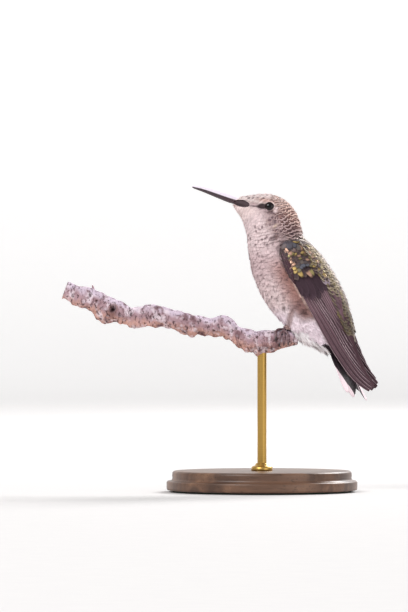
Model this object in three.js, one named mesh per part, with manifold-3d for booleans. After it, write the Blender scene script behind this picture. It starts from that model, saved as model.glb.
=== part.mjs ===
// A young hummingbird at rest on a cut twig, life size, on a small turned display stand.
// Millimetres, +Z up. The bird faces -X and its left side is -Y. The origin is the middle of the
// stand's underside. Plumage is part of each solid, so every outline reaches the feather tips.
import * as THREE from "three";
import { mergeVertices } from "three/addons/utils/BufferGeometryUtils.js";
import Module from "manifold-3d";

const wasm = await Module();
wasm.setup();

// ---- Driving dimensions -------------------------------------------------------------------
const GAP = 0.3; // between neighbouring pieces
const BASE = { radius: 27, height: 6, bevel: 1.2 };
const ROD = { radius: 1.3, top: 41.2, collarRadius: 3, collarHeight: 1.8 };
const BILL = { depth: 1.18, width: 1.2, root: 0.85, widest: 0.3, tip: 0.3 };
const EYE = { x: 2.1, side: 4.8, z: 80.5, radius: 1.75 };
const TOE = { radius: 0.33, spacing: 1.2, grip: 2.1 };
const FOOT_X = 6.2;
const VANE = 0.56; // thickness of a flight feather
const STEP = 0.3; // how much the stacked feathers of a fan rise in all
const ARM = { outer: 1.9, wrist: 1.4, inner: 0.7 }; // the folded arm under its coverts, off the sheet
const RIGHT_WING_LIFT = 1.7; // the right wing tip rides this far above the left one
const BACKWARD = new THREE.Vector3(0.88, 0, 0.47); // square to the tail's line, towards the back
const TAIL_ROLL = THREE.MathUtils.degToRad(14);
const SIDES = { left: -1, right: 1 };

// Rings of head and body from the bill to the tail. Each ring is an ellipse that passes through a
// point on the throat side and a point on the back side, [x, z], and is 2 * half wide.
const BODY = [
  { front: [-8.3, 81.1], back: [-7.1, 83.4], half: 1.2 },
  { front: [-7.6, 79.8], back: [-5.4, 83.7], half: 2.1 },
  { front: [-6.5, 78.4], back: [-2.3, 84.2], half: 3.8 },
  { front: [-5.8, 77.1], back: [1.4, 84.5], half: 5.6 },
  { front: [-5.2, 75.6], back: [5.4, 83.4], half: 6.6 },
  { front: [-4.7, 73.9], back: [8.6, 80.8], half: 7.0 },
  { front: [-4.3, 72.2], back: [10.6, 77.3], half: 7.0 },
  { front: [-4.2, 70.5], back: [11.5, 74.1], half: 7.1 },
  { front: [-4.0, 68.5], back: [12.1, 71.8], half: 7.8 },
  { front: [-3.5, 65.7], back: [15.0, 69.3], half: 9.0 },
  { front: [-3.0, 62.5], back: [18.1, 65.7], half: 9.9 },
  { front: [-1.7, 58.9], back: [20.8, 61.6], half: 10.2 },
  { front: [0.0, 55.2], back: [23.1, 57.3], half: 9.9 },
  { front: [2.1, 51.9], back: [24.8, 52.6], half: 9.2 },
  { front: [4.8, 48.7], back: [25.8, 48.4], half: 8.0 },
  { front: [8.3, 45.7], back: [26.3, 44.7], half: 6.8 },
  { front: [11.9, 42.4], back: [26.7, 41.3], half: 5.5 },
  { front: [15.6, 40.9], back: [26.6, 37.9], half: 4.3 },
  { front: [18.7, 38.8], back: [26.2, 35.1], half: 3.2 },
  { front: [20.9, 36.3], back: [25.6, 33.4], half: 2.2 },
];

const BODY_SIDES = 20;
const RINGS_PER_STATION = 1.6;

// Where the body is parted, as a place along BODY, and half the width of that thin cut.
const CUTS = { head: [6.6, 0.09], neck: [8.6, 0.06], trunk: [13.3, 0.05], belly: [16.4, 0.06] };

// The folded wing from shoulder to tip: its lower, leading edge and its upper, trailing edge,
// [x, distance from the middle plane, z], and how far the sheet bulges between them.
const WING = [
  { lead: [5.7, 7.9, 70.3], trail: [8.6, 7.2, 70.9], bulge: 0.2 },
  { lead: [4.9, 9.0, 68.6], trail: [12.0, 6.8, 68.9], bulge: 0.7 },
  { lead: [6.2, 10.5, 63.4], trail: [16.4, 7.0, 62.8], bulge: 1.1 },
  { lead: [10.2, 10.9, 56.6], trail: [20.1, 7.0, 56.6], bulge: 1.2 },
  { lead: [14.7, 9.3, 49.0], trail: [23.5, 5.8, 49.2], bulge: 0.9 },
  { lead: [19.8, 6.9, 39.9], trail: [26.0, 4.2, 41.4], bulge: 0.5 },
  { lead: [25.5, 5.0, 32.0], trail: [28.9, 3.2, 34.6], bulge: 0.3 },
  { lead: [31.0, 4.0, 27.4], trail: [32.4, 3.2, 29.6], bulge: 0.1 },
];

// The twig, from its sawn end to the tip: [x, y, z] and radius.
const TWIG = [
  { at: [-55.8, 1.0, 56.9], radius: 2.55 },
  { at: [-48.5, 0.6, 54.3], radius: 3.1 },
  { at: [-43.0, 0.2, 51.6], radius: 3.2 },
  { at: [-37.4, -0.2, 49.9], radius: 2.7 },
  { at: [-31.7, -0.3, 49.8], radius: 3.0 },
  { at: [-26.0, 0.0, 48.9], radius: 2.8 },
  { at: [-20.4, 0.2, 47.5], radius: 2.8 },
  { at: [-14.7, 0.3, 46.8], radius: 2.4 },
  { at: [-10.9, 0.2, 46.5], radius: 2.8 },
  { at: [-7.4, 0.0, 44.7], radius: 2.4 },
  { at: [-3.4, 0.0, 42.9], radius: 2.9 },
  { at: [0.4, 0.0, 42.6], radius: 3.1 },
  { at: [5.0, 0.0, 43.1], radius: 2.6 },
  { at: [8.0, 0.0, 43.3], radius: 2.2 },
  { at: [10.3, 0.0, 42.8], radius: 1.3 },
];
// Bud scars and swellings on the twig: place along X, turn round it from the top, and rise.
const KNOTS = [
  { x: -44.0, turn: 2.9, rise: 1.4 },
  { x: -36.0, turn: 2.7, rise: 0.5 },
  { x: -30.5, turn: 0.3, rise: 0.4 },
  { x: -19.5, turn: 2.6, rise: 0.6 },
  { x: -11.5, turn: 0.1, rise: 0.9 },
  { x: -1.5, turn: 3.1, rise: 0.8 },
];
const KNOT_SIZE = 1.9; // half the length of a swelling
const BELLY_TWIG = 0.72; // the share of the twig's length at which it comes in under the belly

// Tail feathers from the middle pair outwards: left and right length, splay in degrees, half width.
const TAIL = [
  { length: [15.2, 15.2], splay: 1.5, half: 1.6 },
  { length: [15.7, 15.7], splay: 4.5, half: 1.7 },
  { length: [16.3, 16.3], splay: 7.5, half: 1.7 },
  { length: [17.1, 19.9], splay: 10.5, half: 1.5 },
  { length: [14.5, 15.4], splay: 17.0, half: 1.4 },
];
const TAIL_ROOT = new THREE.Vector3(19.5, 0, 42.5);
const TAIL_AXIS = new THREE.Vector3(0.471, 0, -0.882);
const TAIL_ROOF = 0.12; // each pair lies this much lower than the one inside it

// ---- Solids from meshes ---------------------------------------------------------------------
function solid(geometry) {
  const plain = new THREE.BufferGeometry().setAttribute("position", geometry.getAttribute("position"));
  if (geometry.index) plain.setIndex(geometry.index);
  const merged = mergeVertices(plain, 1e-4);
  const mesh = new wasm.Mesh({
    numProp: 3,
    vertProperties: merged.attributes.position.array,
    triVerts: new Uint32Array(merged.index.array),
  });
  return new wasm.Manifold(mesh);
}

function geometryOf(manifold) {
  const { numProp, numVert, vertProperties, triVerts } = manifold.getMesh();
  const places = new Float32Array(numVert * 3);
  for (let i = 0; i < numVert; i++) {
    places.set(vertProperties.subarray(i * numProp, i * numProp + 3), i * 3);
  }
  const geometry = new THREE.BufferGeometry();
  geometry.setAttribute("position", new THREE.BufferAttribute(places, 3));
  geometry.setIndex(new THREE.BufferAttribute(new Uint32Array(triVerts), 1));
  return geometry;
}

// The one biggest body of a solid, without the slivers that a cut leaves.
function biggest(manifold) {
  return manifold.decompose().reduce((best, body) => (body.volume() > best.volume() ? body : best));
}

const joined = (pieces) => pieces.reduce((whole, piece) => whole.add(piece));
const cutBy = (whole, cutters) => biggest(cutters.reduce((left, cutter) => left.subtract(cutter), whole));

// A closed skin over rings of the same number of points, with flat ends.
function loft(rings) {
  const round = rings[0].length;
  const points = rings.flat();
  const faces = [];
  for (let i = 0; i + 1 < rings.length; i++) {
    for (let j = 0; j < round; j++) {
      const a = i * round + j;
      const b = i * round + ((j + 1) % round);
      faces.push(a, b, a + round, b, b + round, a + round);
    }
  }
  const end = (ring, start, flip) => {
    const sum = ring.reduce((total, point) => total.add(point), new THREE.Vector3());
    const middle = points.push(sum.divideScalar(round)) - 1;
    for (let j = 0; j < round; j++) {
      const pair = [start + j, start + ((j + 1) % round)];
      faces.push(middle, pair[flip ? 0 : 1], pair[flip ? 1 : 0]);
    }
  };
  end(rings[0], 0, false);
  end(rings[rings.length - 1], (rings.length - 1) * round, true);
  const geometry = new THREE.BufferGeometry().setFromPoints(points).setIndex(faces);
  const made = solid(geometry);
  if (made.volume() > 0) return made;
  for (let i = 0; i < faces.length; i += 3) [faces[i], faces[i + 1]] = [faces[i + 1], faces[i]];
  return solid(geometry.setIndex(faces));
}

// A tube along a curve, with a radius that may change along it and round it.
function tube(curve, radiusAt, steps, around) {
  const frames = curve.computeFrenetFrames(steps, false);
  const rings = [];
  for (let i = 0; i <= steps; i++) {
    const centre = curve.getPoint(i / steps);
    const ring = [];
    for (let j = 0; j < around; j++) {
      const angle = (2 * Math.PI * j) / around;
      const out = frames.normals[i].clone().multiplyScalar(Math.cos(angle));
      out.addScaledVector(frames.binormals[i], Math.sin(angle));
      ring.push(centre.clone().addScaledVector(out, radiusAt(i / steps, angle)));
    }
    rings.push(ring);
  }
  return loft(rings);
}

const curveThrough = (points) => new THREE.CatmullRomCurve3(points.map((p) => new THREE.Vector3(...p)));
const smooth = (x) => THREE.MathUtils.smoothstep(x, 0, 1);
const mix = THREE.MathUtils.lerp;

function ball(centre, radii, turn = 0) {
  const geometry = new THREE.SphereGeometry(1, 13, 8);
  geometry.scale(...radii).rotateY(turn).translate(...centre);
  return solid(geometry);
}

// ---- Head and body --------------------------------------------------------------------------
const frontLine = curveThrough(BODY.map(({ front: [x, z] }) => [x, 0, z]));
const backLine = curveThrough(BODY.map(({ back: [x, z] }) => [x, 0, z]));
const widthLine = curveThrough(BODY.map(({ half }) => [half, 0, 0]));

function bodyRing(place, extra) {
  const t = Math.min(place / (BODY.length - 1), 1);
  const front = frontLine.getPoint(t);
  const back = backLine.getPoint(t);
  const half = widthLine.getPoint(t).x + extra;
  const centre = front.clone().add(back).multiplyScalar(0.5);
  const up = back.clone().sub(centre);
  up.setLength(up.length() + extra);
  return Array.from({ length: BODY_SIDES }, (_, j) => {
    const angle = (2 * Math.PI * j) / BODY_SIDES;
    const point = centre.clone().addScaledVector(up, Math.cos(angle));
    point.y = half * Math.sin(angle);
    return point;
  });
}

function bodyPiece(from, to, extra = 0) {
  const count = Math.ceil((to - from) * RINGS_PER_STATION);
  return loft(Array.from({ length: count + 1 }, (_, i) => bodyRing(mix(from, to, i / count), extra)));
}

// ---- Bill and eyes --------------------------------------------------------------------------
const billLine = curveThrough([
  [-3.6, 0, 81.6],
  [-8.2, 0, 82.75],
  [-12.2, 0, 84.1],
  [-16.6, 0, 85.6],
  [-19.8, 0, 86.4],
]);
const gapeNormal = [0.31, 0, 0.951]; // across the line where the mandibles meet

// How thick the bill is along its length, as a share of its greatest depth and width.
function billTaper(t) {
  if (t < BILL.widest) return mix(BILL.root, 1, smooth(t / BILL.widest));
  return mix(1, BILL.tip, ((t - BILL.widest) / (1 - BILL.widest)) ** 1.3);
}

function billWhole(extra = 0) {
  const steps = 8;
  const round = 10;
  const frames = billLine.computeFrenetFrames(steps, false);
  const rings = [];
  for (let i = 0; i <= steps; i++) {
    const centre = billLine.getPoint(i / steps);
    const tangent = frames.tangents[i];
    const up = new THREE.Vector3(-tangent.z, 0, tangent.x);
    if (up.z < 0) up.negate();
    const taper = billTaper(i / steps) * (i === steps ? 0.5 : 1);
    const ring = Array.from({ length: round }, (_, j) => {
      const angle = (2 * Math.PI * j) / round;
      const point = centre.clone().addScaledVector(up, Math.cos(angle) * (BILL.depth * taper + extra));
      point.y = Math.sin(angle) * (BILL.width * taper + extra);
      return point;
    });
    rings.push(ring);
  }
  return loft(rings);
}

// The covered nostrils swell out on both sides of the bill's root.
const nostrils = (extra = 0) => ball([-5.8, 0, 82.4], [2.9 + extra, 2.3 + extra, 0.85 + extra], 0.3);

function billHalf(upper) {
  const way = upper ? 1 : -1;
  const normal = gapeNormal.map((n) => n * way);
  const onLine = new THREE.Vector3(-12.2, 0, 83.95);
  const offset = onLine.dot(new THREE.Vector3(...normal)) + GAP / 3;
  const whole = upper ? billWhole().add(nostrils()) : billWhole();
  return biggest(whole.trimByPlane(normal, offset));
}

const eyeBall = (side, extra = 0) =>
  ball([EYE.x, side * EYE.side, EYE.z], Array(3).fill(EYE.radius + extra));

// ---- Wings ----------------------------------------------------------------------------------
const leadLine = curveThrough(WING.map(({ lead }) => lead));
const trailLine = curveThrough(WING.map(({ trail }) => trail));
const bulgeLine = curveThrough(WING.map(({ bulge }) => [bulge, 0, 0]));

const WING_LENGTH = 46;

// A point of the wing sheet: u runs from shoulder to tip, v from leading to trailing edge.
function wingPoint(side, u, v) {
  const point = leadLine.getPoint(Math.min(u, 1)).lerp(trailLine.getPoint(Math.min(u, 1)), v);
  point.y += bulgeLine.getPoint(Math.min(u, 1)).x * 4 * v * (1 - v);
  point.y *= side;
  if (side > 0) point.addScaledVector(BACKWARD, RIGHT_WING_LIFT * smooth(u * 1.2));
  return point;
}

function wingNormal(side, u, v) {
  const along = wingPoint(side, Math.min(u + 0.01, 1), v).sub(wingPoint(side, u - 0.01, v));
  const across = wingPoint(side, u, v + 0.02).sub(wingPoint(side, u, v - 0.02));
  const normal = along.cross(across).normalize();
  return normal.y * side < 0 ? normal.negate() : normal;
}

// Where the coverts end and the flight feathers come out from under them.
const covertsEnd = (v) => 0.48 - 0.15 * v;

// The coverts and the arm under them: a lens-shaped cushion over the roots of the flight feathers.
function wingCoverts(side) {
  const steps = 10;
  const round = 14;
  const rings = Array.from({ length: steps + 1 }, (_, i) => {
    const along = i / steps;
    const spread = mix(i === 0 ? 0.8 : 1, 0.94, along ** 3);
    const outer = mix(ARM.outer, ARM.wrist, along);
    return Array.from({ length: round }, (_, j) => {
      const angle = (2 * Math.PI * j) / round;
      const v = 0.5 - 0.5 * spread * Math.cos(angle);
      const u = mix(0.02, covertsEnd(v), along);
      const rise = Math.sin(angle) * (Math.sin(angle) > 0 ? outer : ARM.inner);
      return wingPoint(side, u, v).addScaledVector(wingNormal(side, u, v), rise);
    });
  });
  return loft(rings);
}

// A fan of flight feathers folded on each other, as one stepped sheet on the wing. Each feather
// lies over the next one outward, so the outer face rises at each fold. The folds run on towards
// the trailing edge, where each feather's tip leaves a small notch.
function wingFan(side, { from, to, edge, notch, folds, lift, steps }) {
  const rings = Array.from({ length: steps + 1 }, (_, i) => {
    const along = i / steps;
    const first = edge(along);
    const last = 1 - notch * ((along * (folds + 1)) % 1) * smooth(along * 4);
    const at = (share, height) => {
      const v = mix(first, last, share);
      const u = mix(from(v), to(v), along);
      return wingPoint(side, u, v).addScaledVector(wingNormal(side, u, v), lift + height);
    };
    const fold = (k) => 1 - (1 - k / (folds + 1)) * (1 - 0.45 * along);
    const outer = [];
    for (let k = 0; k <= folds; k++) {
      const step = (STEP * k) / folds;
      outer.push(at(k === 0 ? 0 : fold(k) + 0.012, VANE / 2 + step));
      outer.push(at(k === folds ? 1 : fold(k + 1), VANE / 2 + step));
    }
    return [...outer, at(1, -VANE / 2), at(0.5, -VANE / 2), at(0, -VANE / 2)];
  });
  return loft(rings);
}

const behindCoverts = (v) => covertsEnd(v) + GAP / WING_LENGTH;
const primaries = {
  from: behindCoverts,
  to: (v) => 1 - 0.07 * (2 * v - 0.8) ** 2,
  edge: () => 0,
  notch: 0.08,
  folds: 5,
  lift: 0,
  steps: 15,
};
const secondaries = {
  from: behindCoverts,
  to: (v) => 0.64 - 0.9 * (v - 0.82) ** 2,
  edge: (along) => 0.55 + 0.18 * along ** 2,
  notch: 0.05,
  folds: 3,
  lift: VANE + STEP + GAP,
  steps: 8,
};

// The room that the folded wing takes in the plumage of the flank and rump: it runs on by ROOM_BEYOND
// outwards and past both edges, so that no thin wall is left there.
const ROOM_BEYOND = 4;
function wingRoom(side) {
  const steps = 11;
  const rings = Array.from({ length: steps + 1 }, (_, i) => {
    const u = mix(0, 1.02, i / steps);
    const uInside = THREE.MathUtils.clamp(u, 0.04, 0.98);
    const inner = -(u < 0.5 ? ARM.inner : VANE / 2) - GAP;
    const face = (lift, places) =>
      places.map((v) => {
        const middle = THREE.MathUtils.clamp(v, 0, 1);
        const edge = wingPoint(side, u, 1).sub(wingPoint(side, u, 0)).normalize();
        const over = (v - middle) * ROOM_BEYOND;
        const point = wingPoint(side, u, middle).addScaledVector(edge, over);
        return point.addScaledVector(wingNormal(side, uInside, middle), lift);
      });
    return [...face(inner, [-0.2, 0, 0.33, 0.67, 1, 1.2]), ...face(ROOM_BEYOND, [1.2, 0.5, -0.2])];
  });
  return loft(rings);
}

// ---- Tail -----------------------------------------------------------------------------------
const VANE_STEPS = [0, 0.4, 0.75, 0.9, 1]; // closest where the tip rounds off

function tailBlade(side, index) {
  const { splay, half } = TAIL[index];
  const length = TAIL[index].length[side < 0 ? 0 : 1];
  const angle = THREE.MathUtils.degToRad(splay);
  const lateral = new THREE.Vector3(0, side, 0).applyAxisAngle(TAIL_AXIS, TAIL_ROLL);
  const up = new THREE.Vector3(0, 1, 0).applyAxisAngle(TAIL_AXIS, TAIL_ROLL).cross(TAIL_AXIS).negate();
  const along = TAIL_AXIS.clone().multiplyScalar(Math.cos(angle));
  along.addScaledVector(lateral, Math.sin(angle));
  const slope = 0.1 + 0.05 * index; // the outer edge hangs lower, as on a roof
  const across = lateral.clone().addScaledVector(TAIL_AXIS, -Math.sin(angle));
  across.addScaledVector(up, -slope).normalize();
  const normal = along.clone().cross(across).normalize();
  const start = TAIL_ROOT.clone().addScaledVector(lateral, 0.35 * (index + 0.5));
  start.addScaledVector(up, -TAIL_ROOF * index);
  const rings = VANE_STEPS.map((s) => {
    const blunt = s > 0.75 ? Math.sqrt(1 - ((s - 0.75) / 0.27) ** 2) : 1;
    const width = half * (0.55 + 0.45 * smooth(s / 0.6)) * blunt;
    const centre = start.clone().addScaledVector(along, length * s);
    return [[-1, -1], [-1, 1], [1, 1], [1, -1]].map(([a, b]) =>
      centre.clone().addScaledVector(across, a * width).addScaledVector(normal, (b * VANE) / 2),
    );
  });
  return loft(rings);
}

const tailHalf = (side) => joined(TAIL.map((_, index) => tailBlade(side, index)));

// ---- Legs and feet --------------------------------------------------------------------------
const twigLine = curveThrough(TWIG.map(({ at }) => at));
const twigWidth = curveThrough(TWIG.map(({ radius }) => [radius, 0, 0]));

// The twig's middle and radius at a place along X.
function twigAt(x) {
  let best = 0;
  for (let t = 0; t <= 1; t += 0.0025) {
    if (Math.abs(twigLine.getPoint(t).x - x) < Math.abs(twigLine.getPoint(best).x - x)) best = t;
  }
  return { centre: twigLine.getPoint(best), radius: twigWidth.getPoint(best).x };
}

// A toe starts at the ankle on top of the twig and curls down one flank of it, the claw last.
function toe(side, way, shift, turn) {
  const points = [];
  for (let i = 0; i <= 6; i++) {
    const s = i / 6;
    const x = FOOT_X + shift * smooth(Math.min(1, s * 2.2));
    const { centre, radius } = twigAt(x);
    const angle = side * 0.28 + way * turn * s;
    const reach = radius + GAP + TOE.radius - (i === 6 ? 0.1 : 0);
    points.push([x, centre.y + reach * Math.sin(angle), centre.z + reach * Math.cos(angle)]);
  }
  const width = (t) => TOE.radius * (t > 0.72 ? mix(0.95, 0.5, (t - 0.72) / 0.28) : 1);
  return tube(curveThrough(points), width, 7, 6);
}

function foot(side) {
  const { centre, radius } = twigAt(FOOT_X);
  const top = centre.z + radius + GAP + TOE.radius;
  const ankle = [FOOT_X, side * 0.85, top];
  const bend = [FOOT_X + 0.35, side * 1.05, top + 0.35];
  const upper = [FOOT_X + 0.7, side * 1.2, top + 0.7];
  const shin = curveThrough([ankle, bend, upper]);
  const front = [-1, 0, 1].map((n) => toe(side, side, n * TOE.spacing, TOE.grip));
  const hind = toe(side, -side, side > 0 ? -2.3 : 2.3, TOE.grip * 0.95);
  return joined([tube(shin, () => 0.42, 2, 6), ...front, hind]);
}

// The feathered shank, from the belly down to the bare ankle.
function shank(side, extra = 0) {
  const line = curveThrough([
    [11.5, side * 3.6, 52.5],
    [9.6, side * 3.1, 50.2],
    [8.3, side * 2.2, 48.0],
    [7.6, side * 1.65, 46.9],
  ]);
  return tube(line, (t) => mix(2.3, 0.75, smooth(t)) + extra, 5, 9);
}

// ---- Twig and stand -------------------------------------------------------------------------
function twig() {
  const steps = 37;
  const around = 12;
  const rings = Array.from({ length: steps + 1 }, (_, i) => {
    const t = i / steps;
    const centre = twigLine.getPoint(t);
    const tangent = twigLine.getTangent(t);
    const up = new THREE.Vector3(-tangent.z, 0, tangent.x).normalize();
    const calm = 1 - smooth((t - BELLY_TWIG) / 0.1); // plain where the feet hold it
    return Array.from({ length: around }, (_, j) => {
      const angle = (2 * Math.PI * j) / around;
      const bark = 0.05 * Math.sin(3 * angle + 21 * t) + 0.035 * Math.sin(5 * angle - 60 * t);
      const knots = KNOTS.reduce((sum, { x, turn, rise }) => {
        const away = ((centre.x - x) / KNOT_SIZE) ** 2 + (1 - Math.cos(angle - turn)) * 4;
        return sum + rise * Math.exp(-away);
      }, 0);
      const radius = twigWidth.getPoint(t).x * (1 + bark * calm) + knots;
      const point = centre.clone().addScaledVector(up, Math.cos(angle) * radius);
      point.y -= Math.sin(angle) * radius;
      return point;
    });
  });
  return loft(rings);
}

// The room under the belly for the end of the twig and the toes round it.
function twigRoom() {
  const room = GAP * 2 + TOE.radius * 2;
  const places = [BELLY_TWIG, 0.86, 0.97, 1];
  const end = curveThrough(places.map((t) => twigLine.getPoint(t).toArray()));
  return tube(end, (t) => twigWidth.getPoint(mix(BELLY_TWIG, 1, t)).x + room, 5, 10);
}

function lathe(profile, segments) {
  const outline = profile.map(([r, z]) => new THREE.Vector2(r, z));
  return solid(new THREE.LatheGeometry(outline, segments).rotateX(Math.PI / 2));
}

const standBase = () =>
  lathe(
    [
      [0, 0],
      [BASE.radius - 0.6, 0],
      [BASE.radius, 0.6],
      [BASE.radius, BASE.height - 3.2],
      [BASE.radius - 0.5, BASE.height - 2.4],
      [BASE.radius - BASE.bevel, BASE.height - 2],
      [BASE.radius - BASE.bevel - 0.5, BASE.height - 0.5],
      [BASE.radius - BASE.bevel - 1.3, BASE.height],
      [0, BASE.height],
    ],
    28,
  );

const standRod = (extra = 0) =>
  lathe(
    [
      [0, BASE.height],
      [ROD.collarRadius, BASE.height],
      [ROD.collarRadius, BASE.height + 0.8],
      [ROD.radius + 0.6, BASE.height + ROD.collarHeight - 0.4],
      [ROD.radius + extra, BASE.height + ROD.collarHeight],
      [ROD.radius + extra, ROD.top - 0.3],
      [ROD.radius - 0.3 + extra, ROD.top + extra],
      [0, ROD.top + extra],
    ],
    12,
  );

// ---- Assembly -------------------------------------------------------------------------------
const finish = (colour, roughness, metalness = 0) =>
  new THREE.MeshStandardMaterial({ color: colour, roughness, metalness });
const MATERIALS = {
  pale: finish("#d9c3c4", 0.9),
  buff: finish("#b08f89", 0.9),
  bronze: finish("#6a5f49", 0.7),
  dusk: finish("#4b3842", 0.55),
  ink: finish("#241c22", 0.5),
  horn: finish("#2c2126", 0.35),
  eye: finish("#0c090a", 0.05),
  bark: finish("#b39a9b", 0.9),
  walnut: finish("#4a3021", 0.4),
  brass: finish("#b08d4f", 0.3, 1),
};

const hummingbird = new THREE.Group();
function place(name, manifold, material) {
  const mesh = new THREE.Mesh(geometryOf(manifold), MATERIALS[material]);
  mesh.name = name;
  hummingbird.add(mesh);
}

const both = (make) => Object.values(SIDES).map(make);
const billCutter = billWhole(GAP).add(nostrils(GAP));
const eyeSockets = both((side) => eyeBall(side, GAP));
const wingCutters = both(wingRoom);
const shankCutters = both((side) => shank(side, GAP));

const [headEnd, headHalf] = CUTS.head;
const [neckEnd, neckHalf] = CUTS.neck;
const [trunkEnd, trunkHalf] = CUTS.trunk;
const [bellyEnd, bellyHalf] = CUTS.belly;
const headWhole = bodyPiece(0, headEnd - headHalf);
const neckWhole = bodyPiece(headEnd + headHalf, neckEnd - neckHalf);
const trunkWhole = bodyPiece(neckEnd + neckHalf, trunkEnd - trunkHalf);
const bellyWhole = bodyPiece(trunkEnd + trunkHalf, bellyEnd - bellyHalf);
const covertsWhole = bodyPiece(bellyEnd + bellyHalf, BODY.length - 1);

place("head", cutBy(headWhole, [billCutter, ...eyeSockets]), "pale");
place("neck", cutBy(neckWhole, wingCutters), "pale");
place("trunk", cutBy(trunkWhole, [...wingCutters, ...shankCutters]), "buff");
place("belly", cutBy(bellyWhole, [...wingCutters, ...shankCutters, twigRoom()]), "pale");
place("tail_coverts", cutBy(covertsWhole, wingCutters), "bronze");
place("bill_upper", billHalf(true), "horn");
place("bill_lower", billHalf(false), "horn");

// The tail feathers come out from under the coverts, and part along the middle.
const tailCutter = bodyPiece(bellyEnd - 1, BODY.length - 1, GAP);
const middleSlit = new THREE.BoxGeometry(30, GAP, 40);
middleSlit.rotateX(-TAIL_ROLL * TAIL_AXIS.z).translate(24, 0, 33);
const middleGap = solid(middleSlit);

for (const [name, side] of Object.entries(SIDES)) {
  place(`eye_${name}`, eyeBall(side), "eye");
  place(`wing_${name}_coverts`, wingCoverts(side), "bronze");
  place(`wing_${name}_secondaries`, wingFan(side, secondaries), "dusk");
  place(`wing_${name}_primaries`, wingFan(side, primaries), "dusk");
  place(`tail_${name}`, cutBy(tailHalf(side), [tailCutter, middleGap]), "ink");
  place(`foot_${name}`, foot(side), "horn");
  place(`leg_${name}`, shank(side), "buff");
}

place("perch_twig", cutBy(twig(), [standRod(GAP)]), "bark");
place("stand_base", standBase(), "walnut");
place("stand_rod", standRod(), "brass");

export default hummingbird;
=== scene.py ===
# A young hummingbird on a cut twig, life size, on its turned display stand.
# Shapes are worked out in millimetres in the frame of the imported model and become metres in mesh_of.
import math
import random

import bmesh
import bpy
import numpy as np
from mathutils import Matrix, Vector, noise


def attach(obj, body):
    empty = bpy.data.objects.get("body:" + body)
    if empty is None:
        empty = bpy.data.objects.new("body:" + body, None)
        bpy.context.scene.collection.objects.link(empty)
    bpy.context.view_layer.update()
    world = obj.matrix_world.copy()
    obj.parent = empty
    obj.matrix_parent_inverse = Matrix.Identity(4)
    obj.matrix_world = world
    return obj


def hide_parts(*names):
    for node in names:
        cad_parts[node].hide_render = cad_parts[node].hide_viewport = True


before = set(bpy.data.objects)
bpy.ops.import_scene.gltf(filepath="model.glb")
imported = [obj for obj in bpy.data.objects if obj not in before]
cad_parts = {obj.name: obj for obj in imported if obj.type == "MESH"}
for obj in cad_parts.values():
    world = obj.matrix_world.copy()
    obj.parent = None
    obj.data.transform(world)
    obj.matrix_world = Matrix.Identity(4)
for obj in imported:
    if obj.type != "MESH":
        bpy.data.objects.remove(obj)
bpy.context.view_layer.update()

MM = 0.001
SIDES = {"left": -1, "right": 1}

# ---- Driving dimensions, in millimetres ----
# Rings of head and body from the bill to the tail: a point on the throat side, one on the back
# side, [x, z], and half the width there.
BODY = [
    ((-8.3, 81.1), (-7.1, 83.4), 1.2),
    ((-7.6, 79.8), (-5.4, 83.7), 2.1),
    ((-6.5, 78.4), (-2.3, 84.2), 3.8),
    ((-5.8, 77.1), (1.4, 84.5), 5.6),
    ((-5.2, 75.6), (5.4, 83.4), 6.6),
    ((-4.7, 73.9), (8.6, 80.8), 7.0),
    ((-4.3, 72.2), (10.6, 77.3), 7.0),
    ((-4.2, 70.5), (11.5, 74.1), 7.1),
    ((-4.0, 68.5), (12.1, 71.8), 7.8),
    ((-3.5, 65.7), (15.0, 69.3), 9.0),
    ((-3.0, 62.5), (18.1, 65.7), 9.9),
    ((-1.7, 58.9), (20.8, 61.6), 10.2),
    ((0.0, 55.2), (23.1, 57.3), 9.9),
    ((2.1, 51.9), (24.8, 52.6), 9.2),
    ((4.8, 48.7), (25.8, 48.4), 8.0),
    ((8.3, 45.7), (26.3, 44.7), 6.8),
    ((11.9, 42.4), (26.7, 41.3), 5.5),
    ((15.6, 40.9), (26.6, 37.9), 4.3),
    ((18.7, 38.8), (26.2, 35.1), 3.2),
    ((20.9, 36.3), (25.6, 33.4), 2.2),
]
TAIL_END = len(BODY) - 1
# The plumage at places along BODY: place, depth over the skin, feather length, row spacing.
COAT = [
    (0, 0.22, 0.8, 0.40),
    (2, 0.36, 1.3, 0.58),
    (4, 0.52, 2.0, 0.98),
    (6.6, 0.76, 2.6, 1.06),
    (10, 1.00, 3.2, 1.10),
    (13, 1.20, 3.9, 1.20),
    (16, 1.30, 4.8, 1.35),
    (19, 0.60, 4.6, 1.60),
]
EYE = (2.1, 4.8, 80.5)  # the middle of the right one, of which the left one is the mirror image
EYE_AXIS = (-0.06, 1.0, 0.24)  # the way it looks
EYE_RADIUS = 1.75
LID_OPENING = 1.2
FACE_DEPTH = 2.5  # the sides of the face lie further out than this
# The bare flap over each nostril, in the side view: [x, z] and its half length and height.
FLAP = ((-6.05, 81.65), (2.45, 0.98))
FLAP_DEPTH = 0.7
# Where the coat's pieces meet: places along BODY, and shares of the way round from the back.
FACE_END = 3.2
HEAD_END = 8
BREAST_END = 13.4
CROWN_EDGE = 0.42
BACK_EDGE = 0.38
COAT_GAP = 0.12  # between the twig's bark and the feathers
SKIN_GAP = 0.5  # between the bark and the skin
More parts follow.
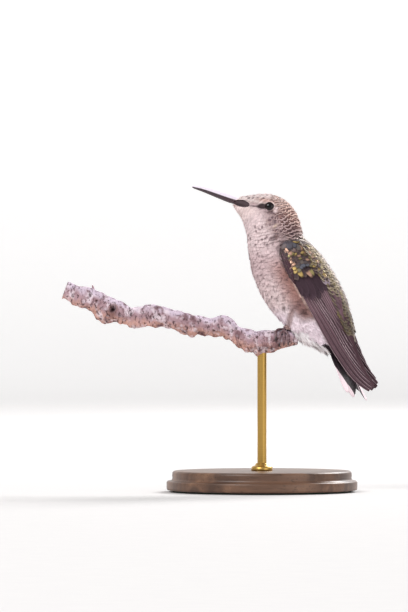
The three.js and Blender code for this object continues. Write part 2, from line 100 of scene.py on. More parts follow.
# The folded wing from shoulder to tip: leading edge, trailing edge, [x, |y|, z], and its bulge.
WING = [
    ((5.7, 7.9, 70.3), (8.6, 7.2, 70.9), 0.2),
    ((4.9, 9.0, 68.6), (12.0, 6.8, 68.9), 0.7),
    ((6.2, 10.5, 63.4), (16.4, 7.0, 62.8), 1.1),
    ((10.2, 10.9, 56.6), (20.1, 7.0, 56.6), 1.2),
    ((14.7, 9.3, 49.0), (23.5, 5.8, 49.2), 0.9),
    ((19.8, 6.9, 39.9), (26.0, 4.2, 41.4), 0.5),
    ((25.5, 5.0, 32.0), (28.9, 3.2, 34.6), 0.3),
    ((31.0, 4.0, 27.4), (32.4, 3.2, 29.6), 0.1),
]
RIGHT_WING_LIFT = 1.7  # the right wing lies this much further up the back
BACKWARD = np.array((0.88, 0.0, 0.47))
# The twig from its sawn end to its tip: centre and radius.
TWIG = [
    ((-55.8, 1.0, 56.9), 2.55),
    ((-48.5, 0.6, 54.3), 3.1),
    ((-43.0, 0.2, 51.6), 3.2),
    ((-37.4, -0.2, 49.9), 2.7),
    ((-31.7, -0.3, 49.8), 3.0),
    ((-26.0, 0.0, 48.9), 2.8),
    ((-20.4, 0.2, 47.5), 2.8),
    ((-14.7, 0.3, 46.8), 2.4),
    ((-10.9, 0.2, 46.5), 2.8),
    ((-7.4, 0.0, 44.7), 2.4),
    ((-3.4, 0.0, 42.9), 2.9),
    ((0.4, 0.0, 42.6), 3.1),
    ((5.0, 0.0, 43.1), 2.6),
    ((8.0, 0.0, 43.3), 2.2),
    ((10.3, 0.0, 42.8), 1.3),
]
# Bud scars and swellings: place along X, turn round the twig from its top, and rise.
KNOTS = [
    (-44.0, 2.9, 1.4),
    (-36.0, 2.7, 0.8),
    (-30.5, 0.3, 0.3),
    (-19.5, 2.6, 0.9),
    (-11.5, 0.1, 0.9),
    (-4.6, 3.3, 0.8),
    (-1.0, 3.0, 1.2),
    (2.6, 3.2, 0.6),
]
KNOT_SIZE = 1.6
SCAR = (-42.2, 1.45)  # of a broken shoot: its place along X and its turn round the twig
SPUR = (-47.6, 1.5)  # a dead stub on top: its place along X and its height
BILL = [(-3.6, 81.6), (-8.2, 82.75), (-12.2, 84.1), (-16.6, 85.6), (-19.8, 86.4)]
BILL_DEPTH = 1.18
BILL_WIDTH = 1.2
TAIL_ROOT = np.array((19.5, 0.0, 42.5))
TAIL_AXIS = np.array((0.471, 0.0, -0.882))
TAIL_ROLL = math.radians(18)
# Tail feathers from the middle pair out: left length, right length, splay in degrees, half width.
TAIL = [
    (15.2, 15.2, 1.5, 1.6),
    (15.7, 15.7, 4.5, 1.7),
    (16.3, 16.3, 7.5, 1.7),
    (17.1, 19.9, 11.5, 1.5),
    (15.8, 15.8, 21.5, 1.4),
]
# The feathered shank from the belly down to the ankle: [x, |y|, z].
SHANK = [(11.5, 3.6, 52.5), (9.6, 3.1, 50.2), (8.3, 2.2, 48.0), (7.6, 1.65, 46.9)]
FOOT_X = 6.2
FOOT_RISE = 0.3  # of the joint between toes and shank over the bark
TOE_RADIUS = 0.33


# ---- Numbers ----
def smooth(x):
    x = np.clip(x, 0, 1)
    return x * x * (3 - 2 * x)


def ramp(x, start, width):
    """0 up to start, then rising smoothly to 1 over width."""
    return smooth((x - start) / width)


def mix(a, b, t):
    return a + (b - a) * t


def unit(v):
    return v / np.maximum(np.linalg.norm(v, axis=-1, keepdims=True), 1e-9)


def crossed(a, b):
    """Two grids from two lists of numbers: the first list down the rows, the second along them."""
    return np.meshgrid(a, b, indexing="ij")


def full_turn(count):
    """Evenly spaced angles round a circle."""
    return np.linspace(0, 2 * math.pi, count, endpoint=False)


def evened(values):
    """A running mean over thirteen neighbours."""
    return np.convolve(np.pad(values, 6, "edge"), np.ones(13) / 13, "valid")


def batches(count, size):
    """Slices of a long list, so that the table worked out for each stays small."""
    return [slice(start, start + size) for start in range(0, count, size)]


def spline(points, places):
    """A centripetal Catmull-Rom curve through points, read at places counted in points."""
    p = np.asarray(points, float).reshape(len(points), -1)
    padded = np.vstack([2 * p[0] - p[1], p, 2 * p[-1] - p[-2]])
    place = np.clip(np.asarray(places, float), 0, len(p) - 1)
    i = np.minimum(place.astype(int), len(p) - 2)
    w = (place - i)[..., None]
    p0, p1, p2, p3 = (padded[i + k] for k in range(4))

    def knot(a, b):
        return np.maximum(np.sum((b - a) ** 2, axis=-1, keepdims=True) ** 0.25, 1e-4)

    d0, d1, d2 = knot(p0, p1), knot(p1, p2), knot(p2, p3)
    t1 = ((p1 - p0) / d0 - (p2 - p0) / (d0 + d1) + (p2 - p1) / d1) * d1
    t2 = ((p2 - p1) / d1 - (p3 - p1) / (d1 + d2) + (p3 - p2) / d2) * d1
    return p1 + t1 * w + (3 * (p2 - p1) - 2 * t1 - t2) * w**2 + (2 * (p1 - p2) + t1 + t2) * w**3


def along_body(column, place):
    """A column of COAT read at places along the body."""
    return np.interp(place, [row[0] for row in COAT], [row[column] for row in COAT])


class Form:
    """A grid of points over a shape, read anywhere between them. a runs along it, b across it."""

    def __init__(self, points, a_ends, b_ends, outward):
        self.points = points
        self.a_ends = a_ends
        self.b_ends = b_ends
        du = np.gradient(points, axis=0)
        dv = np.gradient(points, axis=1)
        self.normals = unit(np.cross(du, dv)) * outward
        self.along = du * (points.shape[0] - 1) / (a_ends[1] - a_ends[0])
        self.across = dv * (points.shape[1] - 1) / (b_ends[1] - b_ends[0])

    def read(self, grid, a, b):
        rows, columns = grid.shape[:2]
        x = (np.asarray(a, float) - self.a_ends[0]) / (self.a_ends[1] - self.a_ends[0]) * (rows - 1)
        y = (np.asarray(b, float) - self.b_ends[0]) / (self.b_ends[1] - self.b_ends[0]) * (columns - 1)
        i = np.clip(x.astype(int), 0, rows - 2)
        j = np.clip(y.astype(int), 0, columns - 2)
        s = (x - i)[..., None]
        t = (y - j)[..., None]
        low = mix(grid[i, j], grid[i, j + 1], t)
        high = mix(grid[i + 1, j], grid[i + 1, j + 1], t)
        return mix(low, high, s)

    def at(self, a, b, lift=0.0):
        lift = np.asarray(lift, float)[..., None]
        return self.read(self.points, a, b) + self.read(self.normals, a, b) * lift

    def scale(self, grid, a, b):
        """Millimetres to one step of a, where grid is self.along, or of b, with self.across."""
        return np.linalg.norm(self.read(grid, a, b), axis=-1)


# ---- Forms of body, wing and twig ----
def body_form():
    s = np.linspace(0, TAIL_END, 260)
    angle = np.linspace(-math.pi - 0.6, math.pi + 0.6, 200)
    front = spline([b[0] for b in BODY], s)
    back = spline([b[1] for b in BODY], s)
    half = spline([b[2] for b in BODY], s)
    centre = (front + back) / 2
    up = back - centre
    x = centre[:, :1] + up[:, :1] * np.cos(angle)
    z = centre[:, 1:] + up[:, 1:] * np.cos(angle)
    y = half * np.sin(angle)
    return Form(np.stack([x, y, z], axis=-1), (0, TAIL_END), (angle[0], angle[-1]), 1)


def wing_form(side):
    """The folded wing's sheet: a from shoulder 0 to tip 1, b from leading edge 0 to trailing 1."""
    u = np.linspace(0, 1, 160)
    v = np.linspace(0, 1, 40)
    stations = u * (len(WING) - 1)
    lead = spline([w[0] for w in WING], stations)[:, None]
    trail = spline([w[1] for w in WING], stations)[:, None]
    bulge = spline([w[2] for w in WING], stations)
    points = mix(lead, trail, v[None, :, None])
    points[..., 1] += bulge * 4 * v * (1 - v)
    points[..., 1] *= side
    if side > 0:
        points = points + BACKWARD * (RIGHT_WING_LIFT * smooth(u * 1.2))[:, None, None]
    return Form(points, (0, 1), (0, 1), -side)


BODY_FORM = body_form()
WING_FORMS = {name: wing_form(side) for name, side in SIDES.items()}
TWIG_PLACES = np.linspace(0, len(TWIG) - 1, 400)
TWIG_LINE = spline([t[0] for t in TWIG], TWIG_PLACES)
TWIG_WIDTH = spline([t[1] for t in TWIG], TWIG_PLACES)[:, 0]


class WingShade:
    """How far out the body may reach under a folded wing, read from a grid over the side view."""

    step = 0.3  # of the grid
    clear = 1.0  # between the body and the wing's sheet
    margin = 0.35  # off the sheet, past which the limit rises
    slope = 1.6

    def __init__(self, form):
        self.low = np.array((-2.0, 22.0))
        self.size = (130, 180)
        x = self.low[0] + np.arange(self.size[0]) * self.step
        z = self.low[1] + np.arange(self.size[1]) * self.step
        sheet = form.points[::3, ::2].reshape(-1, 3)
        cells = np.stack(crossed(x, z), axis=-1).reshape(-1, 2)
        away = np.empty(len(cells))
        limit = np.empty(len(cells))
        for batch in batches(len(cells), 2000):
            part = cells[batch]
            distance = np.hypot(part[:, :1] - sheet[:, 0], part[:, 1:] - sheet[:, 2])
            nearest = distance.argmin(axis=1)
            away[batch] = distance.min(axis=1)
            limit[batch] = np.abs(sheet[nearest, 1])
        self.away = away.reshape(self.size)
        self.limit = limit.reshape(self.size) - self.clear

    def read(self, points):
        cell = np.round((points[..., (0, 2)] - self.low) / self.step).astype(int)
        i = np.clip(cell[..., 0], 0, self.size[0] - 1)
        j = np.clip(cell[..., 1], 0, self.size[1] - 1)
        return self.away[i, j], self.limit[i, j]

    def press(self, points, side):
        """Points of the body are pressed in where this wing lies on them."""
        away, limit = self.read(points)
        out = points[..., 1] * side
        most = limit + np.maximum(away - self.margin, 0) * self.slope
        pressed = points.copy()
        pressed[..., 1] = np.where(out > 0, np.minimum(out, most), out) * side
        return pressed


WING_SHADES = {name: WingShade(form) for name, form in WING_FORMS.items()}


def under_wings(points):
    """Points of the body are pressed in under both folded wings."""
    for name, side in SIDES.items():
        points = WING_SHADES[name].press(points, side)
    return points


def clear_of_twig(points, gap):
    """Moves points out of the half of the twig under the bird, to gap over its bark."""
    flat = points.reshape(-1, 3).copy()
    bottom, top, front = TWIG_LINE[:, 2].min() - 6, 56, 14
    near = np.nonzero((flat[:, 2] > bottom) & (flat[:, 2] < top) & (flat[:, 0] < front))[0]
    line = TWIG_LINE[len(TWIG_LINE) // 2 :]
    width = TWIG_WIDTH[len(TWIG_LINE) // 2 :]
    for batch in batches(len(near), 4000):
        part = near[batch]
        away = flat[part, None] - line[None]
        distance = np.linalg.norm(away, axis=-1)
        nearest = (distance - width).argmin(axis=1)
        rows = np.arange(len(part))
        need = width[nearest] + gap
        have = distance[rows, nearest]
        inside = have < need
        push = away[rows, nearest] * (need / np.maximum(have, 0.05))[:, None]
        flat[part[inside]] = line[nearest[inside]] + push[inside]
    return flat.reshape(points.shape)


def parted(points, centre, radii, depth):
    """Points further out than depth are moved off an ellipse over the side view."""
    x = (points[..., 0] - centre[0]) / radii[0]
    z = (points[..., 2] - centre[1]) / radii[1]
    away = np.maximum(np.hypot(x, z), 1e-3)
    crisp = 6
    moved = (away**crisp + 1) ** (1 / crisp)
    scale = np.where(np.abs(points[..., 1]) > depth, moved / away, 1.0)
    out = points.copy()
    out[..., 0] = centre[0] + x * scale * radii[0]
    out[..., 2] = centre[1] + z * scale * radii[1]
    return out


def part_face(points):
    """Feathers run round the lids and stop at the flaps over the nostrils."""
    points = parted(points, (EYE[0], EYE[2]), (LID_OPENING + 0.06, LID_OPENING), FACE_DEPTH)
    return parted(points, FLAP[0], FLAP[1], FLAP_DEPTH)


def from_eye(points):
    """How far points lie from the middle of the eye in the side view."""
    return np.hypot(points[..., 0] - EYE[0], points[..., 2] - EYE[2])


# ---- Meshes ----
def mesh_of(name, points, quads, attributes=None, unwrap=None):
    """An object of quads from points in millimetres.

    attributes hold three numbers a point, and unwrap each point's place on the OFBake map."""
    mesh = bpy.data.meshes.new(name)
    quads = np.asarray(quads, np.int32).reshape(-1, 4)
    mesh.vertices.add(len(points))
    mesh.vertices.foreach_set("co", (np.asarray(points, np.float32) * MM).ravel())
    mesh.loops.add(quads.size)
    mesh.loops.foreach_set("vertex_index", quads.ravel())
    mesh.polygons.add(len(quads))
    mesh.polygons.foreach_set("loop_start", np.arange(0, quads.size, 4, dtype=np.int32))
    mesh.update(calc_edges=True)
    mesh.polygons.foreach_set("use_smooth", np.full(len(quads), True))
    for key, values in (attributes or {}).items():
        layer = mesh.attributes.new(key, "FLOAT_VECTOR", "POINT")
        layer.data.foreach_set("vector", values.astype(np.float32).ravel())
    if unwrap is not None:
        layer = mesh.uv_layers.new(name="OFBake")
        layer.data.foreach_set("uv", unwrap[quads.ravel()].astype(np.float32).ravel())
    mesh.update()
    thing = bpy.data.objects.new(name, mesh)
    bpy.context.scene.collection.objects.link(thing)
    return thing


def grid_quads(rows, columns, closed=False):
    """Quads of a grid of points kept row by row. closed joins the last column to the first."""
    i, j = crossed(np.arange(rows - 1), np.arange(columns if closed else columns - 1))
    k = (j + 1) % columns
    here = i * columns
    below = here + columns
    return np.stack([here + j, here + k, below + k, below + j], axis=-1).reshape(-1, 4)


def faces_out(thing):
    """Merges doubled points and turns every face outward."""
    work = bmesh.new()
    work.from_mesh(thing.data)
    bmesh.ops.remove_doubles(work, verts=work.verts, dist=1e-7)
    bmesh.ops.dissolve_degenerate(work, edges=work.edges, dist=1e-8)
    bmesh.ops.recalc_face_normals(work, faces=work.faces)
    work.to_mesh(thing.data)
    work.free()
    thing.data.update()
    return thing


def dress(thing, material, replaces=()):
    """Gives a finished piece its material, and says what it rides on and stands for."""
    thing.data.materials.clear()
    thing.data.materials.append(material)
    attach(thing, "root")
    if replaces:
        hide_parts(*replaces)
    return thing


# ---- Feathers ----
def barb_pattern(pairs, tip_width):
    """One feather, along 0 to 1 and across -1 to 1: pairs of barbs, one on each side of a shaft.

    Returns its points, how loose each is with the barb that it is part of, and its quads."""
    slim = 0.45
    points, loose, quads = [], [], []
    for side in (-1, 1):
        for i in range(pairs):
            t = (i + 0.5) / pairs
            root = np.array((0.02 + 0.84 * t, 0.0))
            lean = t * math.pi / 2
            tip = np.array((0.26 + 0.74 * math.sin(lean), side * math.cos(lean) ** 0.75))
            middle = (root + tip) / 2 + np.array((-0.015, side * 0.05))
            way = (tip - root) * (1, slim)
            square = np.array((-way[1], way[0])) / np.linalg.norm(way)
            start = len(points)
            for spot, half in ((root, 0.42), (middle, 0.64), (tip, tip_width)):
                for edge in (-1, 1):
                    points.append(spot + square * (1, 1 / slim) * edge * half / pairs)
                    loose.append((spot is tip, side * (i + 1)))
            for k in (0, 2):
                quads.append([start + k, start + k + 1, start + k + 3, start + k + 2])
    start = len(points)
    for along, half in ((0.0, 0.035), (0.4, 0.028), (0.75, 0.02), (0.97, 0.006)):
        for edge in (-1, 1):
            points.append(np.array((along, edge * half)))
            loose.append((0, 0))
    for k in (0, 2, 4):
        quads.append([start + k, start + k + 1, start + k + 3, start + k + 2])
    return np.array(points), np.array(loose, float), np.array(quads)


def lay_feathers(form, a, b, length, width, depth, soft, turn, rng, pairs, foot=0.0, tip_width=0.34):
    """Barbed feathers with their roots at a, b of a form and their tips at depth over it.

    soft opens the barbs, turn swings each feather aside, and foot is the height of the roots, below
    the form where it is negative. Returns points, places on the vane, quads, and places on the form."""
    pattern, barb, quads = barb_pattern(pairs, tip_width)
    count = len(a)
    depth, soft = np.broadcast_to(depth, count), np.broadcast_to(soft, count)
    along = pattern[None, :, 0] * np.ones((count, 1))
    across = pattern[None, :, 1] * np.ones((count, 1))
    wander = rng.normal(0, 1, (count, 2 * pairs + 1))
    strand = barb[:, 1].astype(int) + pairs
    spread = wander[:, strand] * barb[None, :, 0] * soft[:, None]
    d = (along + 0.05 * spread) * length[:, None]
    e = (across + 0.10 * spread) * width[:, None]
    c, s = np.cos(turn)[:, None], np.sin(turn)[:, None]
    d, e = d * c - e * s, d * s + e * c
    lie_a = a[:, None] + d / form.scale(form.along, a, b)[:, None]
    lie_b = b[:, None] + e / form.scale(form.across, a, b)[:, None]
    rise = foot + depth[:, None] * (np.clip(along, 0, 1) ** 0.75)
    arch = -0.16 * width[:, None] * across**2
    shaft = np.where(barb[None, :, 1] == 0, 0.02, 0.0)
    ruffle = 0.12 * spread * depth[:, None] + rng.normal(0, 0.04, (count, 1)) * along
    points = form.at(lie_a, lie_b, rise + arch + shaft + ruffle)
    seeds = rng.random((count, 1)) * np.ones_like(along)
    vane = np.stack([along, across, seeds], axis=-1)
    every = (quads[None] + (np.arange(count) * len(pattern))[:, None, None]).reshape(-1, 4)
    facing = np.cross(form.read(form.along, a, b), form.read(form.across, a, b))
    facing = facing * form.read(form.normals, a, b)
    if facing.sum() > 0:
        every = every[:, ::-1]
    return points, vane, every, (lie_a, lie_b)


def feather_rows(form, ends, spacing, columns, span, wanted=0.55):
    """Roots in staggered lines along a form, thinned where the lines run close together.

    Lines are thinned where they lie closer than wanted, a share of the spacing along them."""
    roots_a, roots_b = [], []
    rng = random.Random(5)
    fine = np.linspace(ends[0], ends[1], 600)
    for column in range(columns):
        b = mix(span[0], span[1], column / columns)
        step = form.scale(form.along, fine, np.full(len(fine), b))
        rows = np.cumsum(step / spacing(fine)) * (fine[1] - fine[0])
        wide = form.scale(form.across, fine, np.full(len(fine), b))
        gap = wide * (span[1] - span[0]) / columns
        for row in np.arange(0.25 + 0.5 * (column % 2), rows[-1], 1.0):
            place = float(np.interp(row, rows, fine))
            close = float(np.interp(place, fine, gap)) / (wanted * float(spacing(place)))
            if close < 0.5 and column % 2:
                continue
            if close < 0.25 and column % 4:
                continue
            apart = float(spacing(place) / np.interp(place, fine, step))
            roots_a.append(place + rng.uniform(-0.18, 0.18) * apart)
            roots_b.append(b + rng.uniform(-0.15, 0.15) * (span[1] - span[0]) / columns)
    return np.array(roots_a), np.array(roots_b)


# ---- Markings ----
def colour(code):
    """An sRGB hex colour as the linear one that a shader takes."""
    parts = [int(code[i : i + 2], 16) / 255 for i in (1, 3, 5)]
    return (*(c / 12.92 if c <= 0.04045 else ((c + 0.055) / 1.055) ** 2.4 for c in parts), 1.0)


def painted(shape, base, *layers):
    """Colours laid over a base colour, each as strong as its array says."""
    ground = np.zeros((*shape, 3)) + colour(base)[:3]
    for strength, over in layers:
        ground = mix(ground, np.array(colour(over)[:3]), np.clip(strength, 0, 1)[..., None])
    return ground


def patch(x, z, centre, radii, turn=0.0, soft=0.45):
    """1 inside an ellipse over the side view, falling to 0 across its soft edge."""
    c, s = math.cos(turn), math.sin(turn)
    u = ((x - centre[0]) * c + (z - centre[1]) * s) / radii[0]
    v = ((z - centre[1]) * c - (x - centre[0]) * s) / radii[1]
    return 1 - smooth((np.hypot(u, v) - 1 + soft) / (2 * soft))


def from_back(angle):
    """0 along the back and 1 along the throat, for an angle round the body."""
    return np.abs(np.where(np.abs(angle) > math.pi, 2 * math.pi - np.abs(angle), angle)) / math.pi


def spot_places():
    """Where the dusky spots of throat, breast and crown lie, and each one's half length."""
    rng = np.random.default_rng(12)
    a, b = feather_rows(BODY_FORM, (4.9, 13.4), lambda p: 1.45 + 0 * p, 36, (-math.pi, math.pi), 0.6)
    front = from_back(b)
    sparse = mix(1.0, 0.3, ramp(a, 7.4, 1.0) * (1 - ramp(a, 10.4, 1.0)))
    sparse = sparse * ramp(a, 4.4, 1.5) * (1 - 0.7 * ramp(front, 0.84, 0.08))
    kept = (front > 0.42) & (rng.random(len(a)) < 0.85 * sparse)
    a, b = a[kept] + rng.normal(0, 0.25, kept.sum()), b[kept] + rng.normal(0, 0.05, kept.sum())
    size = rng.uniform(0.34, 0.58, len(a))
    # A row of darker ones along each side of the forehead.
    row = np.tile(np.linspace(1.7, 4.9, 8), 4)
    turn = np.repeat((-0.27, -0.15, 0.15, 0.27), 8) * math.pi
    row = row + rng.normal(0, 0.08, 32)
    a, b = np.concatenate([a, row]), np.concatenate([b, turn])
    return BODY_FORM.at(a, b), np.concatenate([size, rng.uniform(0.36, 0.56, 32)])


SPOTS, SPOT_SIZES = spot_places()


def spotted(points):
    """How strongly a spot shows at each point. Spots are longer down the body than across it."""
    flat = points.reshape(-1, 3)
    shade = np.zeros(len(flat))
    for batch in batches(len(flat), 20000):
        away = flat[batch, None] - SPOTS[None]
        away = np.sqrt((away[..., 0] * 1.25) ** 2 + (away[..., 1] * 1.25) ** 2 + away[..., 2] ** 2)
        shade[batch] = (1 - smooth(away / SPOT_SIZES - 0.45)).max(axis=1)
    return shade.reshape(points.shape[:-1])


def plumage(place, angle, points, seeds):
    """Colours of the plumage at places on the body, and how strong fringes, bands and gleam are.

    seeds differ from feather to feather."""
    front = from_back(angle)
    x, y, z = points[..., 0], points[..., 1], points[..., 2]
    eye_x, _, eye_z = EYE
    cheek = np.abs(y) > 2
    motley = 0.45 + 1.1 * ((seeds * 7.3) % 1)
    upper = 1 - smooth((front - mix(0.37, 0.30, ramp(place, 5, 4))) / 0.10)
    bronze = upper * ramp(place, 6.2, 2.0)
    crown = upper * (1 - ramp(place, 6.2, 1.8))
    # The forehead is painted pale: partly its own pale feathers, partly painted rim light along the top of
    # the head.
    forehead = upper * (1 - ramp(place, 3.2, 2.4))
    flank = ramp(place, 8.8, 1.8) * (1 - ramp(place, 13.2, 1.2))
    flank = flank * ramp(front, 0.32, 0.1) * (1 - ramp(front, 0.55, 0.18))
    under_wing = patch(x, z, (11.2, 51.8), (3.2, 2.6), -0.9, 0.6) * (front > 0.3)
    thigh = patch(x, z, (7.8, 49.0), (0.9, 3.5), -0.22, 0.5) * (place > 11) * (front < 0.9)
    # Pale tips of the flank feathers that lap the wing's leading edge.
    wing_edge = patch(x, z, (10.4, 56.6), (5.2, 0.5), -1.07, 0.5) * (place > 9)
    smudges = patch(x, z, (11.6, 51.0), (1.1, 0.6), -0.3, 0.6)
    smudges = smudges + 0.5 * patch(x, z, (9.4, 52.2), (0.9, 0.4), 0.2, 0.6)
    smudges = smudges + patch(x, z, (6.1, 52.0), (0.5, 0.5), 0.0, 0.7)
    ear = patch(x, z, (eye_x + 2.2, eye_z - 3.7), (3.0, 2.9), 0.25, 0.6)
    nape = patch(x, z, (eye_x + 5.4, eye_z - 7.4), (3.4, 3.2), 0.2, 0.6)
    malar = patch(x, z, (eye_x + 1.4, eye_z - 8.7), (1.3, 0.7), 0.9, 0.6)
    # The lore in front of the eye is near black: its own dusky feathers, darkened further by painted shade.
    lore = patch(x, z, (eye_x - 2.1, eye_z + 0.3), (1.6, 0.82), 0.0, 0.3) * cheek
    gape = patch(x, z, (eye_x - 4.4, eye_z + 0.30), (1.5, 0.16), -0.1, 0.6) * cheek
    under_eye = patch(x, z, (eye_x + 0.3, eye_z - 1.35), (1.8, 0.45), 0.0, 0.6)
    brow = patch(x, z, (eye_x - 0.2, eye_z + 1.9), (3.4, 0.7), -0.12, 0.6) * cheek
    behind_eye = patch(x, z, (eye_x + 1.75, eye_z - 0.55), (0.6, 0.85), -0.15, 0.5) * cheek
    ear_pale = patch(x, z, (3.9, 75.2), (0.9, 0.45), 0.6, 0.6) * cheek
    white = np.maximum(
        ramp(place, 13.6, 0.8) * ramp(front, 0.42, 0.12),
        ramp(place, 12.6, 1.4) * ramp(front, 0.56, 0.12),
    )
    low_breast = ramp(place, 9.5, 3) * ramp(front, 0.55, 0.2)
    throat = ramp(front, 0.46, 0.16) * (1 - ramp(place, 7.2, 2.4))
    chin = throat * (1 - ramp(place, 2.6, 1.6))
    # Some bronze feathers, picked at random, are painted paler: a painted glint of their iridescence.
    glint = ramp(seeds, 0.45, 0.3)
    spots = spotted(points) * (1 - white)
    dusk = motley * (0.7 * ear + 0.6 * nape) + 0.7 * malar + 0.5 * under_eye
    dusk = dusk + 0.4 * under_wing + 0.15 * thigh
    ground = painted(
        place.shape,
        "#ccb3b5",
        (low_breast, "#e3cece"),
        (throat, "#e5d0d1"),
        (chin, "#f7e3e1"),
        (np.maximum(flank, under_wing), "#a87d75"),
        (wing_edge, "#edccc1"),
        (0.7 * thigh, "#a5807c"),
        (bronze, "#6f6057"),
        (bronze * ramp(place, 11, 4), "#927e7a"),
        (bronze * glint, "#887c66"),
        (crown, "#a37b73"),
        (forehead, "#ecdcda"),
        (brow, "#cfaea6"),
        (white * (1 - 0.8 * thigh), "#fbebf3"),
        (dusk, "#5c474c"),
        (0.6 * ear_pale, "#d9c2a6"),
        (spots * mix(0.75, 0.45, ramp(place, 7.5, 2)), "#6b5156"),
        (np.clip(smudges, 0, 1) * 0.8, "#4d3838"),
        (0.9 * gape, "#5c474c"),
        (0.95 * lore, "#2c1d21"),
        (behind_eye, "#ead3d3"),
    )
    crown_only = crown * ramp(place, 3.1, 0.8) * (1 - 0.8 * brow)
    fringe = painted(place.shape, "#e2bfb3", (bronze, "#aa9690"), (ear + nape, "#bfa3a2"))
    band = painted(place.shape, "#4a302c", (bronze, "#3c3230"))
    low_back = ramp(place, 12, 3)
    fringed = crown_only + mix(0.55, 0.2, low_back) * bronze + 0.5 * motley * (ear + nape)
    banded = crown_only + mix(0.5, 0.3, low_back) * bronze * ramp(place, 7, 2)
    plain = (1 - lore) * (1 - gape) * (1 - behind_eye)
    traits = np.stack([np.clip(fringed, 0, 1) * plain, np.clip(banded, 0, 1) * plain, bronze], axis=-1)
    return {"tint": ground, "fringe": fringe, "band": band, "traits": traits}


def plain_plumage(shape, ground, fringe, band, traits):
    """The same colours all over, in the form that plumage gives."""
    colours = {"tint": ground, "fringe": fringe, "band": band}
    values = {key: painted(shape, code) for key, code in colours.items()}
    return {**values, "traits": np.zeros((*shape, 3)) + traits}


# ---- Materials ----
def add(tree, kind, inputs=None, **settings):
    """Adds a node with its settings. An input is a value, a socket, or a node for its result."""
    made = tree.nodes.new(kind)
    for key, value in settings.items():
        setattr(made, key, value)
    for key, value in (inputs or {}).items():
        if isinstance(value, bpy.types.Node):
            value = next(socket for socket in value.outputs if socket.enabled)
        if isinstance(value, bpy.types.NodeSocket):
            tree.links.new(value, made.inputs[key])
        else:
            made.inputs[key].default_value = value
    return made


def new_material(name):
    material = bpy.data.materials.new(name)
    material.use_nodes = True
    material.node_tree.nodes.clear()
    return material, material.node_tree


def carried(tree, name):
    """What a mesh carries at each point under this name: the whole, then its three numbers."""
    whole = add(tree, "ShaderNodeAttribute", attribute_name=name).outputs["Vector"]
    return whole, *add(tree, "ShaderNodeSeparateXYZ", {0: whole}).outputs


def laid_over(tree, shade, *layers):
    """Colours laid over a shade in turn, each by its own factor."""
    for factor, over in layers:
        over = colour(over) if isinstance(over, str) else over
        shade = add(tree, "ShaderNodeMix", {0: factor, 6: shade, 7: over}, data_type="RGBA")
    return shade


def surfaced(material, settings):
    """The finished material, with one surface that has these settings."""
    surface = add(material.node_tree, "ShaderNodeBsdfPrincipled", settings)
    add(material.node_tree, "ShaderNodeOutputMaterial", {"Surface": surface})
    return material


def barbed_plumage(name, band_from, band_to, dull):
    # Body feathers: matt keratin vanes of fine barbs, soft and powdery, with a darker shaft. Each
    # has a paler fringe and, inside it, a band. Bronze and gold ones hold a low metallic gleam.
    material, tree = new_material(name)
    vane, along, across, seed = carried(tree, "vane")
    _, fringed, banded, gleam = carried(tree, "traits")
    # How far a point lies from the vane's middle towards its outline, where it is 1.
    reach = add(tree, "ShaderNodeMapRange", {0: along, 1: 0.42}, clamp=False)
    spot = add(tree, "ShaderNodeCombineXYZ", {0: reach, 1: across})
    rim = add(tree, "ShaderNodeVectorMath", {0: spot}, operation="LENGTH").outputs["Value"]
    tip = add(tree, "ShaderNodeMapRange", {0: along, 1: 0.45, 2: 0.6})
    edge = add(tree, "ShaderNodeMapRange", {0: rim, 1: band_to, 2: band_to + 0.12})
    inner = add(tree, "ShaderNodeMapRange", {0: rim, 1: band_from, 2: band_from + 0.15})
    fringed = add(tree, "ShaderNodeMath", {0: fringed, 1: tip}, operation="MULTIPLY")
    banded = add(tree, "ShaderNodeMath", {0: banded, 1: tip}, operation="MULTIPLY")
    shaft = add(tree, "ShaderNodeMath", {0: across, 1: 0.0, 2: 0.05}, operation="COMPARE")
    shade = add(tree, "ShaderNodeAttribute", attribute_name="tint").outputs["Color"]
    band = add(tree, "ShaderNodeAttribute", attribute_name="band").outputs["Color"]
    fringe = add(tree, "ShaderNodeAttribute", attribute_name="fringe").outputs["Color"]
    layers = ((inner, banded, band), (edge, fringed, fringe), (shaft, 0.2, "#4c3d3f"))
    for part, strength, over in layers:
        factor = add(tree, "ShaderNodeMath", {0: part, 1: strength}, operation="MULTIPLY")
        shade = laid_over(tree, shade, (factor, over))
    # Barbs differ a little in tone, about 0.1 mm apart; drawn at 0.2 mm so that it shows.
    strands = add(tree, "ShaderNodeVectorMath", {0: vane, 1: (4.0, 9.0, 37.0)}, operation="MULTIPLY")
    barbs = add(tree, "ShaderNodeTexNoise", {"Vector": strands, "Scale": 1.6, "Detail": 3.0})
    tone = add(tree, "ShaderNodeMath", {0: seed, 1: 0.22, 2: 0.76}, operation="MULTIPLY_ADD")
    tone = add(tree, "ShaderNodeMath", {0: barbs, 1: 0.26, 2: tone}, operation="MULTIPLY_ADD")
    toned = add(tree, "ShaderNodeHueSaturation", {"Value": tone, "Color": shade})
    metallic = add(tree, "ShaderNodeMath", {0: gleam, 1: 0.4}, operation="MULTIPLY")
    roughness = add(tree, "ShaderNodeMath", {0: gleam, 1: -0.3, 2: dull}, operation="MULTIPLY_ADD")
    bump = add(tree, "ShaderNodeBump", {"Height": barbs, "Strength": 0.25, "Distance": 0.0001})
    settings = {
        "Base Color": toned, "Metallic": metallic, "Roughness": roughness, "Normal": bump,
        "Specular IOR Level": 0.25,
    }
    return surfaced(material, settings)


# ---- Coat ----
def body_unwrap(a, b):
    """The body's share of the OFBake map: its length along it, and its girth up it."""
    return np.stack([0.04 + 0.80 * a / TAIL_END, 0.5 + 0.46 * b / math.pi], -1)


def shank_unwrap(a, b, side):
    """A shank's share of the map, beside the body's."""
    round_share = b / (2 * math.pi) % 1.0
    return np.stack([0.87 + 0.11 * a, 0.5 + side * (0.02 + 0.44 * round_share)], -1)


